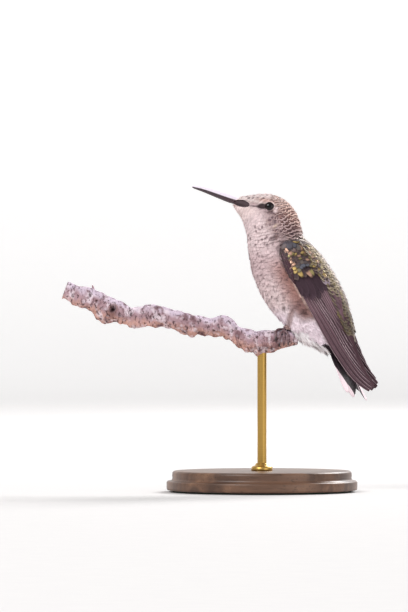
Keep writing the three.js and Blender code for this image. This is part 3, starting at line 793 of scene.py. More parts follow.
def tuft_patches(at_root, vane):
    """Each feather's points on the unwrap: a small patch at the place of its root."""
    patch_size = 0.003
    tuft = patch_size * np.stack([vane[..., 0] - 0.5, vane[..., 1] / 2], -1)
    return (at_root[:, None] + tuft).reshape(-1, 2)


def coat_piece(name, feathers, values, at_root, material):
    """One piece of the coat from its feathers and each one's place on the unwrap."""
    points, vane, quads = feathers
    values = {key: value.reshape(-1, 3) for key, value in {"vane": vane, **values}.items()}
    piece = mesh_of(name, points.reshape(-1, 3), quads, values, tuft_patches(at_root, vane))
    return dress(piece, material)


def body_feathers(a, b, pairs, seed):
    """Feathers of one region, their tips at the coat's full depth, and their colours."""
    rng = np.random.default_rng(seed)
    count = len(a)
    roots = BODY_FORM.at(a, b)
    front = from_back(b)
    white = ramp(a, 13, 1.2) * ramp(front, 0.42, 0.12)
    under_tail = (a > 15.5) & (front > 0.40)
    below = ramp(front, 0.40, 0.06)
    near_eye = smooth((from_eye(roots) - 1.2) / 2.2)
    length = along_body(2, a) * rng.normal(1, 0.07, count) * mix(0.5, 1, near_eye) * mix(1, 0.86, below)
    length = length * np.where((a > 14.2) & (front > 0.40) & ~under_tail, 0.78, 1.0)
    width = length * mix(0.44, 0.36, ramp(a, 8, 6)) * rng.normal(1, 0.06, count)
    depth = along_body(1, a) * rng.normal(1, 0.08, count) * mix(0.45, 1, near_eye)
    depth = depth + 0.45 * patch(roots[:, 0], roots[:, 2], (8.4, 50.6), (1.2, 3.4), -0.22) * (a > 11)
    depth = depth * np.where(under_tail, 0.55, 1.0)
    soft = 0.25 + 1.0 * white + 0.45 * ramp(a, 8, 4) * ramp(front, 0.4, 0.2)
    soft = np.where(under_tail, 0.3, np.clip(soft, 0, 1.4))
    turn = rng.normal(0, 0.06, count) + 0.14 * soft * rng.normal(0, 1, count)
    tip_width = 0.14 if white.mean() > 0.4 else 0.32
    points, vane, quads, lie = lay_feathers(
        BODY_FORM, a, b, length, width, depth, soft, turn, rng, pairs, tip_width=tip_width
    )
    values = plumage(*lie, BODY_FORM.at(*lie), vane[..., 2])
    dark = painted(points.shape[:2], "#2b2026", (vane[..., 2], "#3b2e35"))
    values["tint"] = np.where(under_tail[:, None, None], dark, values["tint"])
    points = points - (BODY_FORM.read(BODY_FORM.normals, a, b) * along_body(1, a)[:, None])[:, None]
    points = clear_of_twig(under_wings(part_face(points)), COAT_GAP)
    return (points, vane, quads), values


def coat(material):
    """Every feather of head and body, in pieces by region."""
    spans = [((-0.42, 0.42), 18, 1.12), ((0.42, 1.0), 34, 0.80), ((-1.0, -0.42), 34, 0.80)]
    rows = [
        feather_rows(
            BODY_FORM, (0.05, TAIL_END - 0.2), lambda p, k=k: k * along_body(3, p), columns,
            (math.pi * low, math.pi * high),
        )
        for (low, high), columns, k in spans
    ]
    a = np.concatenate([row[0] for row in rows])
    b = np.concatenate([row[1] for row in rows])
    keep = uncovered(a, b)
    a, b = a[keep], b[keep]
    front = from_back(b)
    face, head, breast = a < FACE_END, (a >= FACE_END) & (a < HEAD_END), (a >= HEAD_END) & (a < BREAST_END)
    regions = {
        "coat_face": (face, 11),
        "coat_crown": (head & (front < CROWN_EDGE), 15),
        "coat_throat": (head & (front >= CROWN_EDGE), 12),
        "coat_back": ((a >= HEAD_END) & (front < BACK_EDGE), 15),
        "coat_breast": (breast & (front >= BACK_EDGE), 14),
        "coat_vent": ((a >= BREAST_END) & (front >= BACK_EDGE), 17),
    }
    for number, (name, (inside, pairs)) in enumerate(regions.items()):
        feathers, values = body_feathers(a[inside], b[inside], pairs, 20 + number)
        coat_piece(name, feathers, values, body_unwrap(a[inside], b[inside]), material)
    for name, side in SIDES.items():
        shank_coat(name, side, material)
    vent_tufts(material)
    for name, side in SIDES.items():
        scapulars(name, side, material)


def uncovered(a, b):
    """Which roots lie clear of the lids and the nostril flaps, and not wholly under a wing."""
    roots = BODY_FORM.at(a, b)
    out = np.abs(roots[:, 1])
    keep = (from_eye(roots) > LID_OPENING - 0.1) | (out < FACE_DEPTH)
    (flap_x, flap_z), (half_length, half_height) = FLAP
    flap = np.hypot((roots[:, 0] - flap_x) / half_length, (roots[:, 2] - flap_z) / half_height)
    keep &= (flap > 0.9) | (out < FLAP_DEPTH)
    tips = BODY_FORM.at(a + along_body(2, a) / BODY_FORM.scale(BODY_FORM.along, a, b), b)
    for wing_name, side in SIDES.items():
        sheet = WING_FORMS[wing_name].points[8::4, 6:-6:3].reshape(-1, 3)
        under = [
            np.hypot(spots[:, :1] - sheet[:, 0], spots[:, 2:] - sheet[:, 2]).min(axis=1) < 0.9
            for spots in (roots, tips)
        ]
        keep &= ~(under[0] & under[1] & (roots[:, 1] * side > 0))
    return keep


def scapulars(name, side, material):
    """Feathers of the shoulder and back that lie over the folded wing's inner edge."""
    wing = WING_FORMS[name]
    rows = 60
    u = np.linspace(0.03, 0.66, rows)
    on_wing = wing.at(u, np.full(rows, 0.86), mix(1.75, 0.75, ramp(u, 0.1, 0.5)))
    edge = wing.at(u, np.full(rows, 1.0))
    places, turns = crossed(np.linspace(7, 17, 160), np.linspace(0.04, 0.5, 80) * math.pi * side)
    back = BODY_FORM.at(places, turns).reshape(-1, 3)
    near = np.linalg.norm(edge[:, None] - back[None], axis=-1).argmin(axis=1)
    place = evened(places.ravel()[near])
    turn = evened(turns.ravel()[near])
    on_back = BODY_FORM.at(place, turn - side * 0.42, 0.12)
    b = np.linspace(-0.1, 1, 24)
    points = mix(on_wing[:, None], on_back[:, None], b[None, :, None])
    wing_out = wing.read(wing.normals, u, np.full(rows, 1.0))
    middle = unit(wing_out + BODY_FORM.read(BODY_FORM.normals, place, turn))
    points = points + middle[:, None] * (0.9 * np.sin(math.pi * np.clip(b, 0, 1)))[None, :, None]
    form = Form(points, (0, 1), (-0.1, 1), -side)
    rng = np.random.default_rng(60 + side)
    a, b = feather_rows(form, (0.0, 0.93), lambda p: 1.15 + 0 * p, 5, (0.0, 1.0), 0.85)
    count = len(a)
    length = mix(2.6, 3.4, a) * rng.normal(1, 0.07, count)
    points, vane, quads, _ = lay_feathers(
        form, a, b, length, 0.42 * length, depth=0.55, soft=0.35, turn=rng.normal(0, 0.08, count), rng=rng,
        pairs=14, foot=-0.45, tip_width=0.3,
    )
    values = plain_plumage(points.shape[:2], "#5d4f47", "#c2b096", "#372d2b", (0.6, 0.7, 0.7))
    # Some feathers, picked at random, are painted paler: a painted glint of their iridescence.
    glint = smooth((vane[..., 2] - 0.45) / 0.3)
    values["tint"] = painted(points.shape[:2], "#62544c", (glint, "#8d7d58"))
    values["traits"][..., 0] = mix(0.6, 0.2, ramp(a, 0.5, 0.3))[:, None]
    at_root = body_unwrap(*(np.interp(a, np.linspace(0, 1, rows), line) for line in (place, turn)))
    at_root[:, 1] -= side * 0.06 * b
    coat_piece("coat_scapulars_" + name, (points, vane, quads), values, at_root, material)


def shank_form(side):
    """The feathered shank from the belly, 0, down to the bare ankle, 1. b is the turn round it."""
    t = np.linspace(0, 1, 60)
    centre = spline([(x, side * y, z) for x, y, z in SHANK], t * (len(SHANK) - 1))
    radius = mix(2.3, 0.72, smooth(t))
    turn = np.linspace(-0.6, 2 * math.pi + 0.6, 80)
    across, above = frames_along(centre, (0.0, 1.0, 0.0))
    spoke = across[:, None] * np.cos(turn)[:, None] + above[:, None] * np.sin(turn)[:, None]
    points = centre[:, None] + spoke * radius[:, None, None]
    return Form(points, (0, 1), (turn[0], turn[-1]), 1)


def shank_coat(name, side, material):
    """The loose feathers of a thigh and shank."""
    form = shank_form(side)
    rng = np.random.default_rng(50 + side)
    a, b = feather_rows(form, (0.05, 0.93), lambda p: 0.62 + 0 * p, 22, (0.0, 2 * math.pi), 0.8)
    count = len(a)
    length = mix(2.2, 1.1, a) * rng.normal(1, 0.08, count)
    points, vane, quads, _ = lay_feathers(
        form, a, b, length, 0.34 * length, depth=0.6, soft=0.9, turn=rng.normal(0, 0.15, count), rng=rng,
        pairs=10, foot=-0.25, tip_width=0.16,
    )
    points = clear_of_twig(points, COAT_GAP)
    values = plain_plumage(points.shape[:2], "#a98580", "#c9b0ae", "#8c6b68", (0.4, 0.3, 0.0))
    coat_piece("coat_shank_" + name, (points, vane, quads), values, shank_unwrap(a, b, side), material)


def vent_tufts(material):
    """Loose down that hangs from the flanks below each wing, in front of the tail."""
    rng = np.random.default_rng(77)
    tufts = 60
    a = np.concatenate([rng.uniform(14.6, 17.0, tufts)] * 2)
    b = np.concatenate([rng.uniform(0.78, 0.99, tufts), -rng.uniform(0.74, 0.99, tufts)]) * math.pi
    count = len(a)
    length = rng.uniform(2.8, 4.8, count)
    points, vane, quads, _ = lay_feathers(
        BODY_FORM, a, b, length, 0.34 * length, depth=rng.uniform(0.5, 1.5, count), soft=1.5,
        turn=rng.normal(0, 0.2, count), rng=rng, pairs=15, foot=-0.6, tip_width=0.16,
    )
    values = plain_plumage(points.shape[:2], "#faf5f7", "#faf5f7", "#e2d6da", (0.0, 0.2, 0.0))
    coat_piece("coat_vent_down", (points, vane, quads), values, body_unwrap(a, b), material)


# ---- Skin ----
def skin(material):
    """The bird's one skin, from bill to tail and down both shanks, under the plumage."""
    a, b = crossed(np.linspace(0, TAIL_END, 200), np.linspace(-math.pi, math.pi, 96, endpoint=False))
    points = under_wings(BODY_FORM.at(a, b, -along_body(1, a) - 0.05))
    points = clear_of_twig(points, SKIN_GAP)
    # A hollow behind each eye, so that the globe stands free.
    socket = (1 - smooth((from_eye(points) - 0.8) / 0.7)) * (np.abs(points[..., 1]) > FACE_DEPTH)
    points[..., 1] -= np.sign(points[..., 1]) * socket * 1.6
    body = skin_part("skin", points, plumage(a, b, BODY_FORM.at(a, b), 0.5 + 0 * a), body_unwrap(a, b))
    for name, side in SIDES.items():
        form = shank_form(side)
        a, b = crossed(np.linspace(0, 1, 24), full_turn(28))
        values = plain_plumage(a.shape, "#a98580", "#c9b0ae", "#8c6b68", (0.0, 0.0, 0.0))
        shank = skin_part("shank", form.at(a, b, -0.3), values, shank_unwrap(a, b, side))
        union = body.modifiers.new("shank", "BOOLEAN")
        union.operation = "UNION"
        union.solver = "EXACT"
        union.object = shank
        seen = bpy.context.evaluated_depsgraph_get()
        whole = bpy.data.meshes.new_from_object(body.evaluated_get(seen))
        body.modifiers.clear()
        body.data = whole
        bpy.data.objects.remove(shank)
    body.data.polygons.foreach_set("use_smooth", np.full(len(body.data.polygons), True))
    nodes = ["head", "neck", "trunk", "belly", "tail_coverts", "leg_left", "leg_right"]
    return dress(body, material, nodes)


def skin_part(name, points, values, unwrap):
    """A closed part of the skin from a grid of points that runs round it."""
    vane = np.zeros(points.shape) + (0.35, 0.5, 0.5)
    flat, quads, values = loft(points, vane=vane, unwrap=unwrap, **values)
    unwrap = values.pop("unwrap")
    return faces_out(mesh_of(name, flat, quads, values, unwrap))


# ---- Lofted pieces ----
def loft(rings, **values):
    """Points, quads and values of a closed form from rings: row, round, xyz. Its ends are capped."""
    rows, around = rings.shape[:2]
    quads = [grid_quads(rows, around, closed=True)]
    pairs = np.arange(0, around, 2)
    for cap, row in enumerate((0, rows - 1)):
        ring = row * around + np.arange(around + 2) % around
        hub = np.full(len(pairs), rows * around + cap)
        quads.append(np.stack([hub, ring[pairs], ring[pairs + 1], ring[pairs + 2]], axis=-1))

    def capped(grid):
        flat = grid.reshape(rows * around, -1)
        return np.vstack([flat, grid[0].mean(axis=0)[None], grid[-1].mean(axis=0)[None]])

    return capped(rings), np.vstack(quads), {key: capped(grid) for key, grid in values.items()}


def stacked(parts):
    """Points, quads and values of several parts as those of one mesh."""
    points = np.vstack([part[0] for part in parts])
    starts = np.cumsum([0] + [len(part[0]) for part in parts[:-1]])
    quads = np.vstack([part[1] + start for part, start in zip(parts, starts)])
    values = {key: np.vstack([part[2][key] for part in parts]) for key in parts[0][2]}
    return points, quads, values


def joined(name, parts):
    """One mesh of several lofts, with their faces outward."""
    return faces_out(mesh_of(name, *stacked(parts)))


def frames_along(line, up):
    """The two directions square to a line at each of its points. The second is nearest up."""
    tangent = unit(np.gradient(line, axis=0))
    across = unit(np.cross(tangent, up))
    return across, np.cross(across, tangent)


def round_bar(line, radii, around):
    """Rings of a bar along a line that runs more or less square to X."""
    across, above = frames_along(line, (1.0, 0.0, 0.0))
    turn = full_turn(around)[:, None]
    spoke = across[:, None] * np.sin(turn) + above[:, None] * np.cos(turn)
    return line[:, None] + spoke * np.asarray(radii)[:, None, None]


# ---- Wings and tail ----
# A flight feather's section: places from the outer edge over the shaft and back, and their height.
QUILL_ACROSS = np.array([-1, -0.7, -0.35, -0.08, 0, 0.08, 0.35, 0.7, 1, 0.6, 0.12, 0, -0.12, -0.6])
QUILL_HEIGHT = np.array([0, 0.03, 0.05, 0.05, 0.12, 0.05, 0.05, 0.03, 0, -0.02, -0.02, -0.06, -0.02, -0.02])


def quill(line, normals, outer, inner, seed, marks, camber=0.1, blunt=0.22):
    """A flight feather along a line: a shaft with a narrow outer vane and a broad inner one."""
    steps = np.linalg.norm(np.diff(line, axis=0), axis=-1)
    t = np.concatenate([[0.0], np.cumsum(steps)])
    t = t / t[-1]
    across = unit(np.cross(normals, unit(np.gradient(line, axis=0))))
    taper = np.sqrt(np.clip(1 - (np.clip(t - (1 - blunt), 0, 1) / (blunt + 0.012)) ** 2, 0, 1))
    spread = (0.12 + 0.88 * smooth(t / 0.35)) * taper
    e = QUILL_ACROSS[None, :] * np.ones((len(line), 1))
    reach = np.where(e < 0, outer, inner) * e * spread[:, None]
    rise = QUILL_HEIGHT[None, :] * mix(1, 0.5, t)[:, None] - camber * (e * spread[:, None]) ** 2
    rings = line[:, None] + across[:, None] * reach[..., None] + normals[:, None] * rise[..., None]
    vane = np.stack([t[:, None] + 0 * e, e, seed + 0 * e], axis=-1)
    span = np.stack([t[:, None] * steps.sum() + 0 * e, reach, 0 * e], axis=-1)
    return loft(rings, vane=vane, span=span, marks=np.zeros_like(vane) + np.asarray(marks, float))


def sheet_quill(form, root, tip, bow, outer, inner, lift, seed, marks, blunt):
    """A flight feather that lies on a folded wing's sheet."""
    t = 1 - (1 - np.linspace(0, 1, 26)) ** 1.5
    u = mix(root[0], tip[0], t)
    v = mix(root[1], tip[1], t) + bow * np.sin(math.pi * t)
    normals = form.read(form.normals, u, v)
    return quill(form.at(u, v, lift), normals, outer, inner, seed, marks, 0.1, blunt)


def covers_end(v):
    """How far down the folded wing its coverts reach, from leading edge to trailing edge."""
    return 0.48 - 0.15 * v


def arm_form(side_name):
    """The outer face of the coverts over the folded arm. a from shoulder to the last tips."""
    form = WING_FORMS[side_name]
    a, b = crossed(np.linspace(-0.02, 1.3, 90), np.linspace(0, 1, 50))
    angle = math.pi * b
    spread = mix(np.where(a < 0.1, 0.8 + 2 * np.maximum(a, 0), 1.0), 0.94, np.clip(a, 0, 1) ** 3)
    v = 0.5 - 0.5 * spread * np.cos(angle)
    u = mix(0.02, covers_end(v), a)
    crest = np.where(b > 0.5, 0.86 + 0.14 * np.sin(angle), np.sin(angle) ** 0.8)
    rise = crest * mix(1.9, 1.35, np.clip(a, 0, 1)) * (1 - 0.25 * ramp(a, 1, 0.3))
    return Form(form.at(u, v, rise), (-0.02, 1.3), (0, 1), -SIDES[side_name])


def wing(side_name, flight, coverts):
    form, arm = WING_FORMS[side_name], arm_form(side_name)
    name = "wing_" + side_name
    rng = random.Random(7 if side_name == "left" else 11)
    flight_feathers(name, form, rng, flight)
    wing_lining(name, form, coverts)
    covert_scales(name, arm, np.random.default_rng(31 if side_name == "left" else 37), coverts)
    alula(name, arm, rng, flight)


def flight_feathers(name, form, rng, material):
    """Ten primaries, of which three make the tip, and six secondaries stacked on them."""
    parts = []
    for i in range(10):
        root = (mix(0.40, 0.30, i / 9), mix(0.06, 0.62, i / 9))
        tip_u = (0.972, 0.985, 0.975)[i] if i < 3 else mix(0.945, 0.60, (i - 3) / 6)
        tip_v = (0.18, 0.46, 0.70)[i] if i < 3 else mix(0.84, 0.93, (i - 3) / 6)
        half = mix(1.15, 1.7, min(1, 2 * i / 9))
        widths = (0.62 * half, 1.3 * half)
        lift = 0.08 + 0.07 * i
        blunt = 0.12 if i < 3 else 0.3
        tip, marks = (tip_u, tip_v), (-1, 0, 0)
        parts.append(sheet_quill(form, root, tip, -0.02, *widths, lift, rng.random(), marks, blunt))
    for i in range(6):
        root = (mix(0.32, 0.22, i / 5), mix(0.62, 0.86, i / 5))
        tip = (mix(0.63, 0.50, i / 5), mix(0.72, 0.93, i / 5))
        lift = 0.78 + 0.045 * i
        # Their second mark, 1, is the painted sheen that lifts their tone.
        parts.append(sheet_quill(form, root, tip, 0.0, 1.5, 1.9, lift, rng.random(), (-1, 1, 0), 0.2))
    blades = joined(name + "_flight_feathers", parts)
    dress(blades, material, [name + "_primaries", name + "_secondaries"])


def wing_lining(name, form, material):
    """The folded arm's own form, under its feathers."""
    a, b = crossed(np.linspace(0.02, 1.0, 30), np.linspace(0, 2, 48, endpoint=False))
    v = 0.5 - 0.5 * mix(0.82, 0.92, a) * np.cos(math.pi * b)
    rise = np.sin(math.pi * b)
    rise = np.where(rise > 0, rise * mix(1.45, 0.8, a), rise * 0.6)
    rings = form.at(mix(0.03, covers_end(v) - 0.02, a), v, rise)
    values = plain_plumage(rings.shape[:2], "#3a2e31", "#3a2e31", "#3a2e31", (0.0, 0.0, 0.0))
    lining = joined(name + "_lining", [loft(rings, vane=np.zeros(rings.shape) + (0.3, 0.6, 0.5), **values)])
    dress(lining, material, [name + "_coverts"])


def covert_rows(arm):
    """Roots, sizes, root heights and pairs of barbs of the coverts, row by row."""
    rows = []
    # Greater and median coverts, whose tips end in level lines, and the small ones above them.
    for tips, count, length, half, foot in ((0.89, 13, 7.0, 1.3, -0.55), (0.66, 13, 4.0, 0.95, -0.42)):
        b = (np.arange(count) + 0.6) / (count + 0.2)
        tips = tips + 0.36 * b - 0.3 * np.maximum(b - 0.6, 0) + 0.01 * np.sin(b * 40)
        a = tips - length / arm.scale(arm.along, tips, b)
        rows.append((a, b, np.full(count, length), half * mix(1.0, 0.7, b), foot, 18))
    a, b = feather_rows(arm, (0.0, 1.02), lambda p: 1.05 + 0 * p, 16, (0.015, 1.0), 0.8)
    inside = a < mix(0.62, 1.02, ramp(b, 0.58, 0.30))
    a, b = a[inside], b[inside]
    small = mix(0.62, 1, ramp(b, 0.02, 0.25)) * mix(0.8, 1.05, smooth(a / 0.4))
    rows.append((a, b, 2.3 * small, 0.86 * small, -0.32, 12))
    return rows


def covert_colours(spots, b, pick, hue, sleek):
    """Colours of covert feathers, one row of each for each feather, as plumage gives them.

    Gold and green ones lie among dark ones, with two blue groups. sleek is 1 for greater coverts."""
    x, z = spots[:, 0], spots[:, 2]
    blue = np.maximum(patch(x, z, (7.9, 69.6), (1.9, 0.9)), patch(x, z, (11.5, 63.9), (1.7, 1.3)))
    blue = blue * (1 - sleek)
    # lit picks the spangled feathers: their gold and green are painted glints of iridescence.
    lit = (pick < 0.62) * ramp(b, 0.2, 0.1) * (1 - blue) * (1 - sleek)
    edge, inward = 1 - ramp(b, 0.05, 0.15), b > 0.66
    ground = painted(b.shape, "#47383b", (edge, "#33272b"), (blue * pick, "#5d616d"), (sleek, "#38252f"))
    spangle = painted(b.shape, "#c6a968", (hue > 0.4, "#a09361"), (hue > 0.7, "#c79d86"), (blue, "#757d8b"))
    fringe = painted(
        b.shape, "#7c6a5e", (edge, "#4c3d42"), (inward, "#a28c80"), (lit * (b < 0.7), "#2e2426"),
        (blue, "#32282b"), (sleek, "#54404b"), (sleek * inward, "#bba8b8"),
    )
    fringed = mix(0.3, 0.75, np.maximum(np.maximum(lit, blue), mix(0.6, 1.0, sleek) * inward))
    banded = np.maximum(0.9 * lit, 0.7 * blue * pick)
    traits = np.stack([fringed, banded, np.maximum(lit, 0.3 * blue)], axis=-1)
    return {"tint": ground, "band": spangle, "fringe": fringe, "traits": traits}


def covert_scales(name, arm, seeds, material):
    """The coverts in rows over the folded arm."""
    parts, patches = [], []
    for number, (a, b, length, half, foot, pairs) in enumerate(covert_rows(arm)):
        count = len(a)
        points, vane, quads, _ = lay_feathers(
            arm, a, b, length * seeds.normal(1, 0.05, count), half * seeds.normal(1, 0.06, count),
            depth=0.3 - foot, soft=0.12, turn=seeds.normal(0, 0.06, count), rng=seeds, pairs=pairs,
            foot=foot,
        )
        spots = arm.at(a + 0.75 * length / arm.scale(arm.along, a, b), b)
        pick = seeds.random(count)
        hue = seeds.random(count)
        values = covert_colours(spots, b, pick, hue, float(number == 0))
        values = {key: np.repeat(value, points.shape[1], axis=0) for key, value in values.items()}
        parts.append((points.reshape(-1, 3), quads, {"vane": vane.reshape(-1, 3), **values}))
        patches.append(tuft_patches(np.stack([0.05 + 0.7 * a, 0.05 + 0.9 * b], -1), vane))
    scales = mesh_of(name + "_covert_scales", *stacked(parts), np.vstack(patches))
    dress(scales, material)


def alula(name, arm, rng, material):
    """Three stiff feathers along the wrist."""
    parts = []
    t = np.linspace(0, 1, 16)
    for i in range(3):
        a = mix(0.30 + 0.06 * i, 0.80 - 0.05 * i, t)
        b = mix(0.13 + 0.05 * i, 0.10 + 0.06 * i, t)
        line = arm.at(a, b, 0.16 + 0.05 * i)
        parts.append(quill(line, arm.read(arm.normals, a, b), 0.42, 0.75, rng.random(), (-1.0, -1.2, 0)))
    dress(joined(name + "_alula", parts), material)


def tail_feathers(side_name, material):
    """Half of the shut tail, fanned a little and rolled about its own axis."""
    side = SIDES[side_name]
    sideways = np.array((0.0, float(side), 0.0))
    c, s = math.cos(TAIL_ROLL), math.sin(TAIL_ROLL)

    def rolled(v):
        return v * c + np.cross(TAIL_AXIS, v) * s + TAIL_AXIS * np.dot(TAIL_AXIS, v) * (1 - c)

    lateral = rolled(sideways)
    up = -np.cross(rolled(np.array((0.0, 1.0, 0.0))), TAIL_AXIS)
    steps = 28
    t = np.linspace(0, 1, steps)
    parts = []
    for index, (left, right, splay, half) in enumerate(TAIL):
        length = left if side < 0 else right
        angle = math.radians(splay)
        along = TAIL_AXIS * math.cos(angle) + lateral * math.sin(angle)
        slope = (0.1 + 0.05 * index) * (side < 0)
        across = unit(lateral - TAIL_AXIS * math.sin(angle) - up * slope)
        normal = np.cross(along, across)
        if np.dot(normal, up) < 0:
            normal = -normal
        start = TAIL_ROOT + lateral * 0.35 * (index + 0.5) - up * 0.12 * index
        line = start + along * (length * t)[:, None] + normal * (0.25 * np.sin(math.pi * t))[:, None]
        white = (0.0, 0.0, 0.06, 0.20, 0.34)[index]
        outward = 1.0 if np.dot(np.cross(normal, along), lateral) > 0 else -1.0
        widths = (1.15 * half, half) if outward > 0 else (half, 1.15 * half)
        normals = normal[None] * np.ones((steps, 1))
        # The second mark, 0.2, is a slight painted sheen.
        parts.append(quill(line, normals, *widths, 0.1 + 0.2 * index, (outward, 0.2, white), 0.05, 0.2))
    name = "tail_" + side_name
    dress(joined(name + "_feathers", parts), material, [name])


# ---- Bill and eyes ----
def on_face(x, z):
    """Where points of the side view lie on the face: place, angle and distance from the middle."""
    places, turns = crossed(np.linspace(0, 5.5, 160), np.linspace(-math.pi, 0, 200))
    face = BODY_FORM.at(places, turns).reshape(-1, 3)
    near = np.hypot(x.reshape(-1, 1) - face[:, 0], z.reshape(-1, 1) - face[:, 2]).argmin(axis=1)
    found = (places.ravel()[near], turns.ravel()[near], -face[near, 1])
    return tuple(value.reshape(x.shape) for value in found)


def bill(horn, flap_horn):
    steps = 70
    t = np.linspace(0, 1, steps)
    line = spline(BILL, t * (len(BILL) - 1))
    line = np.stack([line[:, 0], np.zeros(steps), line[:, 1]], axis=-1)
    across, above = frames_along(line, (0.0, 0.0, 1.0))
    swelling = mix(0.85, 1, smooth(t / 0.3))
    narrowing = mix(1, 0.3, (np.clip(t - 0.3, 0, 1) / 0.7) ** 1.3)
    taper = np.where(t < 0.3, swelling, narrowing)
    taper = taper * np.sqrt(np.clip(1 - (np.clip(t - 0.94, 0, 1) / 0.0612) ** 2, 0, 1))
    # A culmen or keel along the middle, and edges that turn in towards the other half.
    turn = np.linspace(0, math.pi, 15)
    y = [-math.cos(a) for a in turn] + [0.55, 0.0, -0.55]
    keel = [1 + 0.06 * math.exp(-(((a - math.pi / 2) / 0.22) ** 2)) for a in turn]
    z = [math.sin(a) ** 0.85 * k for a, k in zip(turn, keel)] + [0.0, 0.0, 0.0]
    y, z = np.array(y), np.array(z)
    seam = 0.008
    for name, way, width, depth in (("bill_upper", 1, 1.0, 1.0), ("bill_lower", -1, 0.93, 0.97)):
        wide = (BILL_WIDTH * taper * width)[:, None] * y
        tall = (BILL_DEPTH * depth * taper)[:, None] * z + seam
        rings = line[:, None] + across[:, None] * wide[..., None] + above[:, None] * (way * tall)[..., None]
        run = np.stack([t[:, None] + 0 * wide, 0 * wide + y, 0 * wide + way * z], axis=-1)
        dress(joined(name + "_sheath", [loft(rings, run=run)]), horn, [name])
    nasal_flaps(flap_horn)


def nasal_flaps(material):
    """The bare flaps that cover the nostrils, one on each side of the root, laid on the face."""
    (flap_x, flap_z), (half_length, half_height) = FLAP
    share, lon = crossed(np.linspace(0.04, 1.0, 14), full_turn(48))
    x = flap_x + half_length * share * np.cos(lon)
    droop = 0.18 * (x - flap_x)
    z = flap_z + half_height * share * np.sin(lon) * (1 + 0.25 * np.cos(lon)) - droop
    _, _, face = on_face(x, z)
    bulge = np.sqrt(np.clip(1.02 - share**2, 0, 1))
    slit = np.exp(-(((z + droop - flap_z + 0.5) / 0.14) ** 2) - ((x - flap_x + 0.4) / 1.5) ** 4)
    out = face + 0.24 * bulge * (1 - 0.3 * np.cos(lon)) - 0.16 - 0.16 * slit
    thickness = 0.9
    run = np.stack([0.5 + 0 * share, slit, 0 * share], axis=-1)
    parts = []
    for side in SIDES.values():
        top = np.stack([x, side * out, z], axis=-1)
        low = np.stack([x, side * (out - thickness), z], axis=-1)[::-4]
        rings = np.concatenate([top, low])
        parts.append(loft(rings, run=np.concatenate([run, 0 * run[::-4] + (0.5, 0, 0)])))
    dress(joined("bill_nasal_flaps", parts), material)


def eye(side_name, cornea, lid_skin, plumes):
    side = SIDES[side_name]
    centre = np.array((EYE[0], side * EYE[1], EYE[2]))
    axis = unit(np.array(EYE_AXIS) * (1, side, 1))
    across = unit(np.cross(axis, (0.0, 0.0, 1.0)))
    above = np.cross(across, axis)
    lat = np.linspace(0.02, math.pi - 0.02, 40)[:, None]
    lon = full_turn(56)[None]
    ball = axis * np.cos(lat)[..., None] + across * (np.sin(lat) * np.cos(lon))[..., None]
    ball = ball + above * (np.sin(lat) * np.sin(lon))[..., None]
    turned = np.stack([lat + 0 * lon, np.cos(lon) + 0 * lat, np.sin(lon) + 0 * lat], axis=-1)
    globe = joined("eye_" + side_name + "_globe", [loft(centre + ball * EYE_RADIUS, gaze=turned)])
    dress(globe, cornea, ["eye_" + side_name])
    rows = lids(side_name, centre, axis, across, above, lid_skin)
    lid_plumes(side_name, rows, plumes)


def lids(side_name, centre, axis, across, above, material):
    """A bare beaded rim on the globe, and a skirt that follows the globe out to the face."""
    around = full_turn(72)[None]
    tall = 1.02 - 0.06 * np.sin(around)
    wide = 1.06 + 0.06 * np.abs(np.cos(around)) ** 6
    # Each ring's radius, and its height over the globe.
    rings = [
        (1.02, -0.1), (1.04, 0.02), (1.08, 0.08), (1.13, 0.1), (1.19, 0.09), (1.32, 0.09), (1.48, 0.07),
        (1.62, -0.1), (1.72, -0.6),
    ]
    radius, over = np.array(rings).T[..., None]
    beads = 0.02 * np.cos(around * 30) * ((radius > 1.05) & (radius < 1.15))
    blend = ramp(radius, 1.2, 0.4)
    x = (radius + beads) * mix(wide, 1.0, blend) * np.cos(around)
    z = (radius + beads) * mix(tall, 1.0, blend) * np.sin(around)
    level = np.sqrt(EYE_RADIUS**2 - np.minimum(np.hypot(x, z), 1.66) ** 2) + over + beads
    rows = centre + axis * level[..., None] + across * x[..., None] + above * z[..., None]
    count = len(rings)
    share = np.arange(count)[:, None] / (count - 1) + 0 * around
    place, turn, _ = on_face(rows[..., 0], rows[..., 2])
    # The skirt takes the face's colours darkened to three quarters: painted shade under the brow.
    tint = 0.75 * plumage(place, turn, rows, 0.5 + 0 * place)["tint"]
    fold = np.stack([share, 0 * share, 0 * share], axis=-1)
    values = {"fold": fold.reshape(-1, 3), "tint": tint.reshape(-1, 3)}
    quads = grid_quads(count, around.size, closed=True)
    ring = mesh_of("eye_" + side_name + "_lids", rows.reshape(-1, 3), quads, values)
    dress(faces_out(ring), material)
    return rows


def lid_plumes(side_name, rows, material):
    """Small feathers in two rings on the lids' skirt."""
    columns, overlap, around = rows.shape[1], 12, 26
    closed = np.concatenate([rows, rows[:, :overlap]], axis=1)
    form = Form(closed, (0, 1), (0, 2 * math.pi * (columns + overlap) / columns), -1)
    grow = np.random.default_rng(90 + SIDES[side_name])
    count = 2 * around
    a = np.repeat((0.52, 0.68), around)
    b = (np.tile(np.arange(around), 2) + np.repeat((0.0, 0.5), around)) * 2 * math.pi / around + 0.15
    length = grow.uniform(0.4, 0.55, count)
    points, vane, quads, _ = lay_feathers(
        form, a, b, length, 0.5 * length, depth=0.1, soft=0.5, turn=grow.normal(0, 0.2, count), rng=grow,
        pairs=6,
    )
    place, turn, _ = on_face(points[..., 0], points[..., 2])
    values = plumage(place, turn, points, vane[..., 2])
    at_root = body_unwrap(place[:, 0], turn[:, 0])
    coat_piece("coat_eyelid_" + side_name, (points, vane, quads), values, at_root, material)


